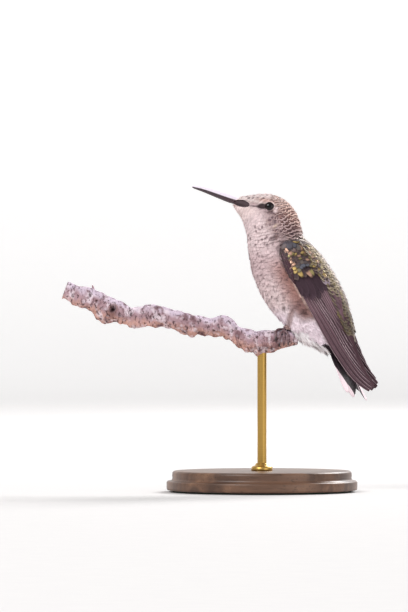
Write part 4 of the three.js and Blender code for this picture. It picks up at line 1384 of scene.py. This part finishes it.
# ---- Feet ----
def twig_at(x):
    """The twig's centre and radius at a place along X."""
    k = int(np.abs(TWIG_LINE[:, 0] - x).argmin())
    return TWIG_LINE[k], TWIG_WIDTH[k]


def toe_line(side, way, shift, turn, ends, count):
    """The middle line of a toe or claw, wound round the twig and shifted along it."""
    points = []
    for s in np.linspace(*ends, count):
        x = FOOT_X + shift * smooth(min(1, s * 2.2))
        centre, radius = twig_at(x)
        angle = side * 0.28 + way * turn * s
        reach = radius + 0.02 + TOE_RADIUS * (1 - 0.5 * ramp(s, 0.7, 0.3))
        points.append((x, centre[1] + reach * math.sin(angle), centre[2] + reach * math.cos(angle)))
    return spline(points, np.linspace(0, count - 1, 8 * count))


def foot(side_name, scales, claw_horn):
    side = SIDES[side_name]
    # Three toes forward and one back: the way round, the shift along the twig and the turn of each.
    toes = [(side, shift, 2.1) for shift in (-1.2, 0.0, 1.2)]
    toes.append((-side, -2.3 * side, 2.0))
    parts, claws = [], []
    for way, shift, turn in toes:
        line = toe_line(side, way, shift, turn, (0, 0.8), 6)
        t = np.linspace(0, 1, len(line))
        # Scutes across the toe, and a pad at each joint.
        scutes = 0.035 * (1 - ((t * 9) % 1)) + 0.05 * np.cos(t * 6 * math.pi)
        radii = TOE_RADIUS * mix(1.08, 0.8, t) + scutes * 0.6
        radii[-1] *= 0.3
        radii[-2] *= 0.75
        rings = round_bar(line, radii, 14)
        still = 0 * rings[..., 0]
        parts.append(loft(rings, run=np.stack([(t * 9)[:, None] + still, still, still], axis=-1)))
        claw = toe_line(side, way, shift, turn, (0.76, 1.04), 5)
        c = np.linspace(0, 1, len(claw))
        out = unit(claw - twig_at(FOOT_X + shift)[0])
        claw = claw + out * (0.28 * np.sin(math.pi * c * 0.85) - 0.1 * c)[:, None]
        claws.append(loft(round_bar(claw, 0.23 * (1 - c) ** 0.7 + 0.025, 12)))
    # The bare shank, from the toes up into the feathers.
    centre, radius = twig_at(FOOT_X)
    top = centre[2] + radius + FOOT_RISE + TOE_RADIUS
    ankle_x, ankle_y, ankle_z = SHANK[-1]
    shin = [
        (FOOT_X, side * 0.85, top - 0.1),
        (FOOT_X + 0.4, side * 1.1, top + 0.45),
        (ankle_x, side * ankle_y, ankle_z + 0.4),
    ]
    steps = 20
    line = spline(shin, np.linspace(0, len(shin) - 1, steps))
    rings = round_bar(line, 0.4 + 0.05 * np.cos(np.linspace(0, 18, steps)), 14)
    parts.append(loft(rings, run=np.linspace(0, 5, steps)[:, None, None] + 0 * rings))
    dress(joined("foot_" + side_name + "_toes", parts), scales, ["foot_" + side_name])
    dress(joined("foot_" + side_name + "_claws", claws), claw_horn)


# ---- Twig and stand ----
def twig(bark, sawn, flake_bark):
    rows, around = 620, 120
    t = np.linspace(0, 1, rows)
    line = spline([p[0] for p in TWIG], t * (len(TWIG) - 1))
    width = spline([p[1] for p in TWIG], t * (len(TWIG) - 1))[:, 0]
    tangent = unit(np.gradient(line, axis=0))
    above = unit(np.stack([-tangent[:, 2], 0 * t, tangent[:, 0]], axis=-1))
    turn = full_turn(around)[None]
    # The bark is calmer under the bird.
    calm = (1 - ramp(t, 0.72, 0.1))[:, None]
    ripple = 0.05 * np.sin(3 * turn + 21 * t[:, None]) + 0.035 * np.sin(5 * turn - 60 * t[:, None])
    radius = width[:, None] * (1 + ripple * calm)
    for x, side, rise in KNOTS:
        away = ((line[:, :1] - x) / KNOT_SIZE) ** 2 + (1 - np.cos(turn - side)) * 4
        radius = radius + rise * np.exp(-away)
    spoke = above[:, None] * np.cos(turn)[..., None] - np.array((0.0, 1.0, 0.0)) * np.sin(turn)[..., None]
    rings = line[:, None] + spoke * radius[..., None]
    # The lumps stand out most along the underside.
    relief = np.clip(bark_relief(rings), -0.42, 0.7) * mix(0.4, 1.0, calm)
    relief = relief * mix(0.85, 1.5, smooth(-np.cos(turn)))
    # The scar of a broken shoot: a raised rim round a hole.
    away = np.hypot(line[:, :1] - SCAR[0], 0.75 * width[:, None] * (turn - SCAR[1])) + 0.9 * relief
    rim = np.exp(-(((away - 0.95) / 0.4) ** 2))
    hole = np.exp(-((away / 0.55) ** 2))
    relief = relief + 0.35 * rim - 0.9 * hole
    rings = rings + spoke * relief[..., None]
    # The third number, 1 on top and -1 below, is where the bark paints its highlight and its warm underside
    # light.
    tint = np.stack([rim, hole, np.cos(turn) + 0 * relief], axis=-1)
    log = joined("perch_twig_bark", [loft(rings, tint=tint)])
    dress(log, bark, ["perch_twig"])
    sawn_end(line[0], rings[0], tangent[0], turn, sawn)
    spur(bark)
    flakes(log, flake_bark)


def bark_relief(rings):
    """Low ridges along the twig, lumps of about 1 mm with cracks between them, and grain."""
    relief = np.empty(rings.shape[:2])
    for place in np.ndindex(relief.shape):
        p = Vector(rings[place])
        ridge = noise.fractal(Vector((p.x * 0.25, p.y * 0.7, p.z * 0.7)), 1.0, 2.0, 3)
        lump = noise.noise(p * 0.42) + 0.4 * abs(noise.noise(p * 0.9))
        relief[place] = 0.2 * ridge + 0.55 * lump + 0.08 * noise.noise(p * 2.2) - 0.12
    return relief


def sawn_end(hub, rim, tangent, turn, material):
    """Pale wood with rings, inside the bark where the twig is cut."""
    shares = np.linspace(0.0, 0.93, 12)
    face = [hub + (rim - hub) * max(k, 0.01) - tangent * (0.09 - 0.05 * k**6) for k in shares]
    share = shares[:, None] + 0 * turn
    run = np.stack([share * TWIG[0][1], turn + 0 * share, 0 * share], axis=-1)
    quads = grid_quads(len(shares), turn.size, closed=True)
    end = mesh_of("perch_twig_sawn_end", np.reshape(face, (-1, 3)), quads, {"run": run.reshape(-1, 3)})
    dress(end, material)


def spur(material):
    """A dead stub left of a bud."""
    x, height = SPUR
    start, radius = twig_at(x)
    t = np.linspace(0, 1, 14)
    line = start + np.stack([-0.5 * t**2, -0.15 * t, radius - 0.5 + (height + 0.5) * t], axis=-1)
    radii = 0.42 * (1 - 0.55 * t) + 0.05 * np.sin(t * 20)
    radii[-1] *= 0.5
    rings = round_bar(line, radii, 16)
    dress(joined("perch_twig_spur", [loft(rings, tint=0 * rings)]), material)


def flakes(log, material):
    """Thin curled flakes of bark and lichen, spread over the twig by Geometry Nodes."""
    x, y = (flat.ravel() for flat in crossed(np.linspace(-1, 1, 6), np.linspace(-1, 1, 6)))
    bulged = [0.7 * x * (1 - 0.25 * y * y), 0.55 * y * (1 + 0.12 * np.sin(3 * x))]
    grid = np.stack([*bulged, 0.05 + 0.08 * x * x + 0.04 * y], axis=-1)
    rounding = 0.5 * (grid[:, :1] ** 2 / 0.56 + grid[:, 1:2] ** 2 / 0.25)
    grid[:, :2] *= np.sqrt(np.clip(1.25 - rounding, 0.2, 1))
    flake = mesh_of("bark_flake", grid, grid_quads(6, 6)[:, ::-1])

    tree = bpy.data.node_groups.new("bark_flakes", "GeometryNodeTree")
    tree.interface.new_socket("Geometry", in_out="OUTPUT", socket_type="NodeSocketGeometry")
    tree.interface.new_socket("Geometry", in_out="INPUT", socket_type="NodeSocketGeometry")
    inputs = {
        "Flake": ("NodeSocketObject", flake),
        "Density": ("NodeSocketFloat", 160000.0),
        "Seed": ("NodeSocketInt", 3),
        "Material": ("NodeSocketMaterial", material),
    }
    sockets = {}
    for name, (kind, _) in inputs.items():
        sockets[name] = tree.interface.new_socket(name, in_out="INPUT", socket_type=kind).identifier
    given = add(tree, "NodeGroupInput").outputs
    shape = add(tree, "GeometryNodeObjectInfo", {"Object": given["Flake"]})
    spots = add(
        tree, "GeometryNodeDistributePointsOnFaces",
        {"Mesh": given["Geometry"], "Distance Min": 0.0011, "Density Max": given["Density"],
         "Seed": given["Seed"]},
        distribute_method="POISSON",
    )
    size = add(
        tree, "FunctionNodeRandomValue", {2: 0.3, 3: 0.85, "Seed": given["Seed"]}, data_type="FLOAT"
    )
    turn = add(tree, "FunctionNodeRandomValue", {2: -0.5, 3: 0.5, "Seed": 4}, data_type="FLOAT")
    turned = add(tree, "ShaderNodeCombineXYZ", {"Z": turn.outputs[1]})
    lay = add(
        tree, "FunctionNodeAlignRotationToVector",
        {"Rotation": spots.outputs["Rotation"], "Vector": (1.0, 0.0, -0.2)}, axis="X", pivot_axis="Z",
    )
    laid = add(
        tree, "FunctionNodeRotateRotation", {0: lay.outputs[0], 1: turned.outputs[0]},
        rotation_space="LOCAL",
    )
    placed = add(
        tree, "GeometryNodeInstanceOnPoints",
        {"Points": spots.outputs["Points"], "Instance": shape.outputs["Geometry"],
         "Rotation": laid.outputs[0], "Scale": size.outputs[1]},
    )
    real = add(tree, "GeometryNodeRealizeInstances", {"Geometry": placed.outputs[0]})
    done = add(tree, "GeometryNodeSetMaterial", {"Geometry": real.outputs[0], "Material": given["Material"]})
    add(tree, "NodeGroupOutput", {"Geometry": done.outputs[0]})

    carrier = bpy.data.objects.new("flake_carrier", log.data.copy())
    bpy.context.scene.collection.objects.link(carrier)
    modifier = carrier.modifiers.new("bark_flakes", "NODES")
    modifier.node_group = tree
    for name, (_, value) in inputs.items():
        modifier[sockets[name]] = value
    seen = bpy.context.evaluated_depsgraph_get()
    mesh = bpy.data.meshes.new_from_object(carrier.evaluated_get(seen))
    for thing in (carrier, flake):
        bpy.data.objects.remove(thing)
    spread = bpy.data.objects.new("perch_twig_flakes", mesh)
    bpy.context.scene.collection.objects.link(spread)
    dress(spread, material)


def lathed(profile, around=128):
    """A turned form from a profile of radii and heights."""
    turn = full_turn(around)
    return loft(np.array([[(r * math.cos(a), r * math.sin(a), z) for a in turn] for r, z in profile]))


def arc(centre, radius, start, end, steps=8):
    """Points of a profile round a centre, between two angles in degrees."""
    turns = [math.radians(a) for a in np.linspace(start, end, steps)]
    return [(centre[0] + radius * math.cos(a), centre[1] + radius * math.sin(a)) for a in turns]


def stand(walnut, brass, felt):
    middle = 0.05  # turned profiles end just short of the axis, where loft caps them
    base_low, base_top, rod_foot, rod_top, rod_radius = 0.5, 6.0, 6.05, 41.2, 1.3
    profile = [(middle, base_low), (26.0, base_low)]
    profile += arc((26.4, 1.1), 0.6, -90, 0) + arc((26.4, 2.6), 0.6, 0, 80)
    profile += arc((26.3, 4.1), 0.95, 250, 180, 6) + [(25.45, 4.7)] + arc((24.6, 5.2), 0.8, 0, 90)
    profile += [(3.4, base_top), (middle, base_top)]
    dress(joined("stand_base_turned", [lathed(profile)]), walnut, ["stand_base"])
    pad = lathed([(middle, 0.0), (25.2, 0.0), (25.4, 0.2), (25.2, 0.46), (middle, 0.46)], 96)
    dress(joined("stand_base_felt", [pad]), felt)
    rod = [(middle, rod_foot), (rod_radius, rod_foot)]
    rod += [(rod_radius, z) for z in np.linspace(8, rod_top - 1, 12)]
    rod += [(1.27, rod_top - 0.1), (1.15, rod_top), (middle, rod_top)]
    collar_bore = rod_radius + 0.02
    collar = [(1.45, rod_foot), (3.0, rod_foot), (3.05, 6.3), (3.0, 6.9), (2.7, 7.25), (2.2, 7.4)]
    collar += [(1.9, 7.6), (1.75, 8.1), (collar_bore, 8.2), (collar_bore, rod_foot)]
    dress(joined("stand_rod_turned", [lathed(rod, 64), lathed(collar, 64)]), brass, ["stand_rod"])


# ---- More materials ----
def flight_plumage(name, dark, light, rim_highlight_colour):
    # Flight feathers: smooth stiff keratin vanes with a silky sheen, fine barbs slanting off a shaft that
    # is painted paler as a highlight line, and a pale rim on the outer vane, a painted highlight, with a
    # dark line beside it.
    material, tree = new_material(name)
    vane, along, across, seed = carried(tree, "vane")
    span, run, reach, _ = carried(tree, "span")
    _, outer, sheen, white = carried(tree, "marks")
    # Barbs leave the shaft at about 30 degrees, drawn 0.22 mm apart so that they show.
    away = add(tree, "ShaderNodeMath", {0: reach}, operation="ABSOLUTE")
    slant = add(tree, "ShaderNodeMath", {0: away, 1: -1.7, 2: run}, operation="MULTIPLY_ADD")
    phase = add(tree, "ShaderNodeCombineXYZ", {0: slant, 2: seed})
    waves = {"Vector": phase, "Scale": 0.72, "Distortion": 1.6, "Detail": 2.0}
    wave = add(tree, "ShaderNodeTexWave", waves).outputs["Fac"]
    long = add(tree, "ShaderNodeVectorMath", {0: span, 1: (0.12, 2.6, 0.0)}, operation="MULTIPLY")
    long = add(tree, "ShaderNodeVectorMath", {0: long, 1: vane}, operation="ADD")
    streaks = add(tree, "ShaderNodeTexNoise", {"Vector": long, "Scale": 2.0, "Detail": 3.0})
    tone = add(tree, "ShaderNodeMath", {0: along, 1: -0.55, 2: 0.08}, operation="MULTIPLY_ADD")
    tone = add(tree, "ShaderNodeMath", {0: seed, 1: 0.3, 2: tone}, operation="MULTIPLY_ADD")
    # The second mark lifts the tone as a painted sheen: fully on the secondaries, slightly on the tail;
    # where negative, on the alula, it darkens.
    tone = add(tree, "ShaderNodeMath", {0: sheen, 1: 0.35, 2: tone}, operation="MULTIPLY_ADD")
    tone = add(
        tree, "ShaderNodeMath", {0: streaks, 1: 0.6, 2: tone}, operation="MULTIPLY_ADD", use_clamp=True
    )
    shade = laid_over(tree, colour(dark), (tone, light))
    # White tips run up the outer vane, on the side that outer tells.
    side = add(tree, "ShaderNodeMath", {0: across, 1: outer}, operation="MULTIPLY")
    start = add(tree, "ShaderNodeMath", {0: side, 1: -0.2, 2: 1.0}, operation="MULTIPLY_ADD")
    start = add(tree, "ShaderNodeMath", {0: start, 1: white}, operation="SUBTRACT")
    reached = add(tree, "ShaderNodeMath", {0: along, 1: start}, operation="GREATER_THAN")
    tipped = add(tree, "ShaderNodeMath", {0: white, 1: 0.02}, operation="GREATER_THAN")
    tip = add(tree, "ShaderNodeMath", {0: reached, 1: tipped}, operation="MULTIPLY")
    shaft = add(tree, "ShaderNodeMath", {0: across, 1: 0.0, 2: 0.06}, operation="COMPARE")
    # A dark line along the outer vane, beside the painted rim.
    dark_line = add(tree, "ShaderNodeMath", {0: side, 1: 0.55, 2: 0.2}, operation="COMPARE")
    # The pale rim on the outer vane is a painted highlight along the feather's edge.
    rim = add(tree, "ShaderNodeMapRange", {0: side, 1: 0.74, 2: 0.84})
    # Inner flight feathers, which lie sheltered under others, get a fainter painted rim highlight.
    sheltered = add(tree, "ShaderNodeMath", {0: sheen, 1: -0.62, 2: 0.85}, operation="MULTIPLY_ADD")
    rim = add(tree, "ShaderNodeMath", {0: rim, 1: sheltered}, operation="MULTIPLY", use_clamp=True)
    # The shaft's paler line is a painted highlight.
    layers = (
        (dark_line, 0.55, "#241820"), (shaft, 0.4, "#87747a"), (rim, 1.0, rim_highlight_colour), (tip, 1.0, "#f3dde3"),
    )
    for part, strength, over in layers:
        factor = add(tree, "ShaderNodeMath", {0: part, 1: strength}, operation="MULTIPLY")
        shade = laid_over(tree, shade, (factor, over))
    value = add(tree, "ShaderNodeMath", {0: wave, 1: 0.2, 2: 0.9}, operation="MULTIPLY_ADD")
    toned = add(tree, "ShaderNodeHueSaturation", {"Value": value, "Color": shade})
    bump = add(tree, "ShaderNodeBump", {"Height": wave, "Strength": 0.35, "Distance": 0.00004})
    settings = {
        "Base Color": toned, "Roughness": 0.48, "Normal": bump, "Specular IOR Level": 0.3,
    }
    return surfaced(material, settings)


def bill_horn():
    # The horny sheath of a bill: dark keratin grown in long fibres, satin, browner at the root. The
    # whole upper half is painted pale as a painted highlight along its top; the lower one stays dark.
    material, tree = new_material("bill_sheath_horn")
    run, along, _, high = carried(tree, "run")
    grain = add(tree, "ShaderNodeVectorMath", {0: run, 1: (2.5, 9.0, 0.0)}, operation="MULTIPLY")
    fibres = add(tree, "ShaderNodeTexNoise", {"Vector": grain, "Scale": 4.0, "Detail": 4.0})
    pale = add(tree, "ShaderNodeMapRange", {0: fibres, 1: 0.35, 2: 0.7})
    root = add(tree, "ShaderNodeMapRange", {0: along, 1: 0.5, 2: 0.1})
    # The upper half is painted near white as a painted highlight; the horn itself is dark all over.
    upper = add(tree, "ShaderNodeMapRange", {0: high, 1: -0.04, 2: 0.16}, interpolation_type="SMOOTHSTEP")
    shade = laid_over(tree, colour("#33242a"), (pale, "#4a383f"), (root, "#452a31"), (upper, "#e8deea"))
    bump = add(tree, "ShaderNodeBump", {"Height": fibres, "Strength": 0.2, "Distance": 0.00005})
    settings = {
        "Base Color": shade, "Roughness": 0.3, "Normal": bump, "Specular IOR Level": 0.55,
    }
    return surfaced(material, settings)


def flap_skin():
    # The soft flaps over the nostrils: matt dark skin with a slit, browner than the bill.
    material, tree = new_material("nasal_flap_skin")
    _, _, slit, _ = carried(tree, "run")
    place = add(tree, "ShaderNodeTexCoord").outputs["Object"]
    pits = add(tree, "ShaderNodeTexNoise", {"Vector": place, "Scale": 1800.0, "Detail": 4.0})
    shade = laid_over(tree, colour("#28161c"), (pits, "#43272f"), (slit, "#160c0f"))
    bump = add(tree, "ShaderNodeBump", {"Height": pits, "Strength": 0.3, "Distance": 0.0001})
    return surfaced(material, {"Base Color": shade, "Roughness": 0.5, "Normal": bump})


def wet_eye():
    # A wet eye: near-black brown iris round the pupil, under a clear polished cornea.
    material, tree = new_material("eye_cornea")
    gaze, turn, _, _ = carried(tree, "gaze")
    rays = add(tree, "ShaderNodeVectorMath", {0: gaze, 1: (0.35, 1.0, 1.0)}, operation="MULTIPLY")
    fibres = add(tree, "ShaderNodeTexNoise", {"Vector": rays, "Scale": 9.0, "Detail": 3.0})
    pupil = add(tree, "ShaderNodeMapRange", {0: turn, 1: 0.46, 2: 0.38})
    rim = add(tree, "ShaderNodeMapRange", {0: turn, 1: 0.68, 2: 0.8})
    shade = laid_over(tree, colour("#140a0c"), (fibres, "#2a1719"), (pupil, "#050304"), (rim, "#0b0607"))
    return surfaced(material, {"Base Color": shade, "Roughness": 0.05, "Specular IOR Level": 0.3})


def lid_skin():
    # Bare eyelid: thin dark skin in fine beads round the opening.
    material, tree = new_material("eyelid_skin")
    _, level, _, _ = carried(tree, "fold")
    place = add(tree, "ShaderNodeTexCoord").outputs["Object"]
    beads = add(tree, "ShaderNodeTexVoronoi", {"Vector": place, "Scale": 5200.0})
    feathered = add(tree, "ShaderNodeMapRange", {0: level, 1: 0.42, 2: 0.55})
    # tint holds the face's colours with the painted shade of the brow.
    tint = add(tree, "ShaderNodeAttribute", attribute_name="tint").outputs["Color"]
    between = add(tree, "ShaderNodeMapRange", {0: beads, 1: 0.2, 2: 0.7, 4: 0.5})
    shade = laid_over(tree, colour("#2a1f23"), (between, "#191114"), (feathered, tint))
    return surfaced(material, {"Base Color": shade, "Roughness": 0.5})


def foot_scales():
    # Scaly skin of the toes: dusky, waxy scutes with darker seams.
    material, tree = new_material("toe_scutes")
    _, along, _, _ = carried(tree, "run")
    scute = add(tree, "ShaderNodeMath", {0: along}, operation="FRACT")
    lit = add(tree, "ShaderNodeMapRange", {0: scute, 2: 0.3})
    place = add(tree, "ShaderNodeTexCoord").outputs["Object"]
    cells = add(tree, "ShaderNodeTexNoise", {"Vector": place, "Scale": 1500.0, "Detail": 3.0})
    worn = add(tree, "ShaderNodeMapRange", {0: cells, 1: 0.45, 2: 0.65, 4: 0.6})
    shade = laid_over(tree, colour("#3f2d31"), (lit, "#6b5054"), (worn, "#a1848a"))
    return surfaced(material, {"Base Color": shade, "Roughness": 0.45})


def claw_horn():
    # Claws: dark translucent horn, polished by use.
    material, tree = new_material("claw_horn")
    place = add(tree, "ShaderNodeTexCoord").outputs["Object"]
    grain = add(tree, "ShaderNodeTexNoise", {"Vector": place, "Scale": 1800.0, "Detail": 2.0})
    shade = laid_over(tree, colour("#2b2023"), (grain, "#4c3d41"))
    return surfaced(material, {"Base Color": shade, "Roughness": 0.3})


def twig_bark(name, crust):
    # Bark of a dead fruit twig: weathered cork with dark cracks about 1.5 mm apart that run mostly
    # round the twig. A painted highlight pales its top to grey-lilac; painted warm light tints its underside
    # salmon.
    material, tree = new_material(name)
    place = add(tree, "ShaderNodeTexCoord").outputs["Object"]
    squeezed = add(tree, "ShaderNodeVectorMath", {0: place, 1: (1.5, 1.0, 0.7)}, operation="MULTIPLY")
    broad = add(tree, "ShaderNodeTexNoise", {"Vector": squeezed, "Scale": 300.0, "Detail": 4.0})
    fine = add(
        tree, "ShaderNodeTexNoise", {"Vector": squeezed, "Scale": 900.0, "Detail": 5.0, "Roughness": 0.7}
    )
    cells = add(
        tree, "ShaderNodeTexNoise", {"Vector": place, "Scale": 380.0, "Detail": 5.0, "Roughness": 0.6}
    )
    _, knot, hollow, top = carried(tree, "tint")
    blurred = add(tree, "ShaderNodeMath", {0: broad, 1: 1.6, 2: top}, operation="MULTIPLY_ADD")
    # under and above are painted light: warm salmon on the underside, a grey-lilac highlight along the top.
    under = add(tree, "ShaderNodeMapRange", {0: blurred, 1: 0.75, 2: 0.1, 4: 0.9})
    above = add(tree, "ShaderNodeMapRange", {0: blurred, 1: 1.1, 2: 1.65, 4: 0.8})
    dusky = add(tree, "ShaderNodeMapRange", {0: broad, 1: 0.49, 2: 0.38, 4: 0.85})
    crack = add(tree, "ShaderNodeMapRange", {0: fine, 1: 0.47, 2: 0.4, 4: 0.85})
    bloom = add(tree, "ShaderNodeMapRange", {0: cells, 1: 0.52, 2: 0.62, 4: 0.7})
    knotted = add(tree, "ShaderNodeMath", {0: knot, 1: fine}, operation="MULTIPLY")
    layers = (
        (under, "#d0a092"), (above, "#d6c7d8"), (dusky, "#75565c"), (bloom, "#ecdce4"), (crack, "#412b2d"),
        (knotted, "#6d4636"), (hollow, "#2a1918"), (crust, "#c3b3bd"),
    )
    shade = laid_over(tree, colour("#ad8e95"), *layers)
    height = add(tree, "ShaderNodeMath", {0: fine, 1: 0.5, 2: broad}, operation="MULTIPLY_ADD")
    bump = add(tree, "ShaderNodeBump", {"Height": height, "Strength": 0.9, "Distance": 0.0006})
    settings = {
        "Base Color": shade, "Roughness": 0.85, "Normal": bump, "Specular IOR Level": 0.2,
    }
    return surfaced(material, settings)


def sawn_wood():
    # Sawn twig end: pale sapwood with growth rings about 0.5 mm apart round a brown pith.
    material, tree = new_material("sawn_sapwood")
    run, radius, _, _ = carried(tree, "run")
    wander = add(tree, "ShaderNodeTexNoise", {"Vector": run, "Scale": 0.8, "Detail": 2.0})
    phase = add(tree, "ShaderNodeMath", {0: radius, 1: 8.0, 2: wander}, operation="MULTIPLY_ADD")
    line = add(tree, "ShaderNodeMath", {0: phase}, operation="SINE")
    late = add(tree, "ShaderNodeMapRange", {0: line, 1: -0.2, 2: 1.0, 4: 0.6})
    pith = add(tree, "ShaderNodeMapRange", {0: radius, 1: 0.3, 2: 0.1})
    shade = laid_over(tree, colour("#d6c3ab"), (late, "#b39578"), (pith, "#8a6c54"))
    return surfaced(material, {"Base Color": shade, "Roughness": 0.8})


def walnut_wood():
    # Oiled walnut, turned: long dark grain lines about 1.5 mm apart under a thin satin finish.
    material, tree = new_material("walnut_turned_oiled")
    place = add(tree, "ShaderNodeTexCoord").outputs["Object"]
    grain = add(tree, "ShaderNodeVectorMath", {0: place, 1: (14.0, 300.0, 120.0)}, operation="MULTIPLY")
    lines = add(
        tree, "ShaderNodeTexNoise", {"Vector": grain, "Scale": 1.0, "Detail": 4.0, "Distortion": 0.6}
    )
    pores = add(tree, "ShaderNodeVectorMath", {0: place, 1: (150.0, 2600.0, 2000.0)}, operation="MULTIPLY")
    pore = add(tree, "ShaderNodeTexNoise", {"Vector": pores, "Scale": 1.0, "Detail": 1.0})
    late = add(tree, "ShaderNodeMapRange", {0: lines, 1: 0.42, 2: 0.64})
    early = add(tree, "ShaderNodeMapRange", {0: lines, 1: 0.40, 2: 0.28})
    open_pore = add(tree, "ShaderNodeMapRange", {0: pore, 1: 0.62, 2: 0.72, 4: 0.6})
    layers = ((late, "#4c3427"), (early, "#86644c"), (open_pore, "#33231b"))
    shade = laid_over(tree, colour("#6e4f3c"), *layers)
    bump = add(tree, "ShaderNodeBump", {"Height": pore, "Strength": 0.1, "Distance": 0.00005})
    return surfaced(material, {"Base Color": shade, "Roughness": 0.38, "Normal": bump})


def brass_metal():
    # Satin brass rod, turned on a lathe: fine rings left by the tool.
    material, tree = new_material("brass_turned_satin")
    place = add(tree, "ShaderNodeTexCoord").outputs["Object"]
    turned = add(tree, "ShaderNodeVectorMath", {0: place, 1: (60.0, 60.0, 5000.0)}, operation="MULTIPLY")
    rings = add(tree, "ShaderNodeTexNoise", {"Vector": turned, "Scale": 1.0, "Detail": 2.0})
    shade = laid_over(tree, colour("#cda75e"), (rings, "#b08a46"))
    roughness = add(tree, "ShaderNodeMath", {0: rings, 1: 0.12, 2: 0.26}, operation="MULTIPLY_ADD")
    return surfaced(material, {"Base Color": shade, "Metallic": 1.0, "Roughness": roughness})


def felt_pad():
    # Wool felt under the base: matt fibres.
    material, tree = new_material("wool_felt")
    place = add(tree, "ShaderNodeTexCoord").outputs["Object"]
    fibres = add(tree, "ShaderNodeTexNoise", {"Vector": place, "Scale": 2200.0, "Detail": 3.0})
    shade = laid_over(tree, colour("#2f3a33"), (fibres, "#46524a"))
    return surfaced(material, {"Base Color": shade, "Roughness": 0.95})


# ---- Studio ----
def studio():
    """Plain pale floor and backdrop, soft lamps and the camera."""
    paper, tree = new_material("studio_paper")
    speck = add(tree, "ShaderNodeTexNoise", {"Scale": 900.0, "Detail": 2.0})
    shade = laid_over(tree, colour("#dad8d7"), (speck, "#d5d3d3"))
    # The far floor and backdrop, which the lamps hardly reach, look as pale as the near floor.
    rays = add(tree, "ShaderNodeLightPath").outputs
    seen = rays["Is Camera Ray"]
    for kind in ("Is Glossy Ray", "Is Transmission Ray"):
        seen = add(tree, "ShaderNodeMath", {0: seen, 1: rays[kind]}, operation="ADD", use_clamp=True)
    place = add(tree, "ShaderNodeTexCoord").outputs["Object"]
    _, depth, _ = add(tree, "ShaderNodeSeparateXYZ", {0: place}).outputs
    far = add(tree, "ShaderNodeMapRange", {0: depth, 1: 0.45, 2: 2.3, 4: 0.66})
    glow = add(tree, "ShaderNodeMath", {0: seen, 1: far}, operation="MULTIPLY")
    settings = {
        "Base Color": shade, "Emission Color": colour("#ffffff"), "Emission Strength": glow,
        "Roughness": 0.9, "Specular IOR Level": 0.1,
    }
    surfaced(paper, settings)
    # The sweep: flat floor, a quarter turn, then straight up.
    front, back, bend, top, half_width = -2.4, 1.7, 0.6, 3.0, 3.0
    turns = np.linspace(0.1, math.pi / 2, 14)
    profile = [(front, 0.0), (back, 0.0)]
    profile += [(back + bend * math.sin(t), bend - bend * math.cos(t)) for t in turns]
    profile += [(back + bend, top)]
    points = np.array([(x, y, z) for y, z in profile for x in (-half_width, half_width)]) / MM
    sweep = mesh_of("studio_sweep", points, grid_quads(len(profile), 2))
    sweep.data.materials.append(paper)

    world = bpy.data.worlds.new("studio_air")
    bpy.context.scene.world = world
    world.use_nodes = True
    world.node_tree.nodes.clear()
    air = add(world.node_tree, "ShaderNodeBackground", {"Color": colour("#ffffff"), "Strength": 0.56})
    add(world.node_tree, "ShaderNodeOutputWorld", {"Surface": air})

    # Each lamp's place and size in metres, and its power in watts.
    middle = Vector((0.0, 0.0, 0.06))
    lamps = [
        ("key", (-0.75, -0.95, 1.05), 0.8, 14.0),
        ("fill", (0.9, -0.9, 0.35), 1.0, 3.0),
        ("rim", (0.55, 0.75, 0.75), 0.5, 14.0),
    ]
    for name, place, size, power in lamps:
        light = bpy.data.lights.new("studio_" + name, "AREA")
        light.shape = "DISK"
        light.size = size
        light.energy = power
        lamp = bpy.data.objects.new("studio_" + name, light)
        lamp.location = place
        aim = middle - lamp.location
        lamp.rotation_euler = aim.to_track_quat("-Z", "Y").to_euler()
        bpy.context.scene.collection.objects.link(lamp)

    # A long lens from far off keeps the model's outline true.
    distance, view_width = 1.5, 0.1732
    lens = bpy.data.cameras.new("studio_camera")
    lens.sensor_width = 36
    lens.lens = 36 * distance / view_width
    lens.clip_start = 0.1
    lens.clip_end = 20
    camera = bpy.data.objects.new("studio_camera", lens)
    camera.location = (-0.0164, -distance, 0.0526)
    camera.rotation_euler = (math.pi / 2, 0, 0)
    bpy.context.scene.collection.objects.link(camera)
    bpy.context.scene.camera = camera
    bpy.context.scene.view_settings.view_transform = "Standard"


# ---- Assembly ----
def main():
    body_coat = barbed_plumage("contour_plumage_barbed", 0.42, 0.68, 0.82)
    skin(body_coat)
    coat(body_coat)
    flight = flight_plumage("flight_plumage_vane", "#42262f", "#98737f", "#c2a9b0")
    rectrices = flight_plumage("tail_plumage_vane", "#241a20", "#382b33", "#42343c")
    coverts = barbed_plumage("covert_plumage_iridescent", 0.10, 0.76, 0.6)
    horn, flaps = bill_horn(), flap_skin()
    wet, bare_lid = wet_eye(), lid_skin()
    scales, claws = foot_scales(), claw_horn()
    for name in SIDES:
        wing(name, flight, coverts)
        tail_feathers(name, rectrices)
        eye(name, wet, bare_lid, body_coat)
        foot(name, scales, claws)
    bill(horn, flaps)
    twig(twig_bark("twig_bark", 0.0), sawn_wood(), twig_bark("bark_flakes", 0.3))
    stand(walnut_wood(), brass_metal(), felt_pad())
    studio()


main()
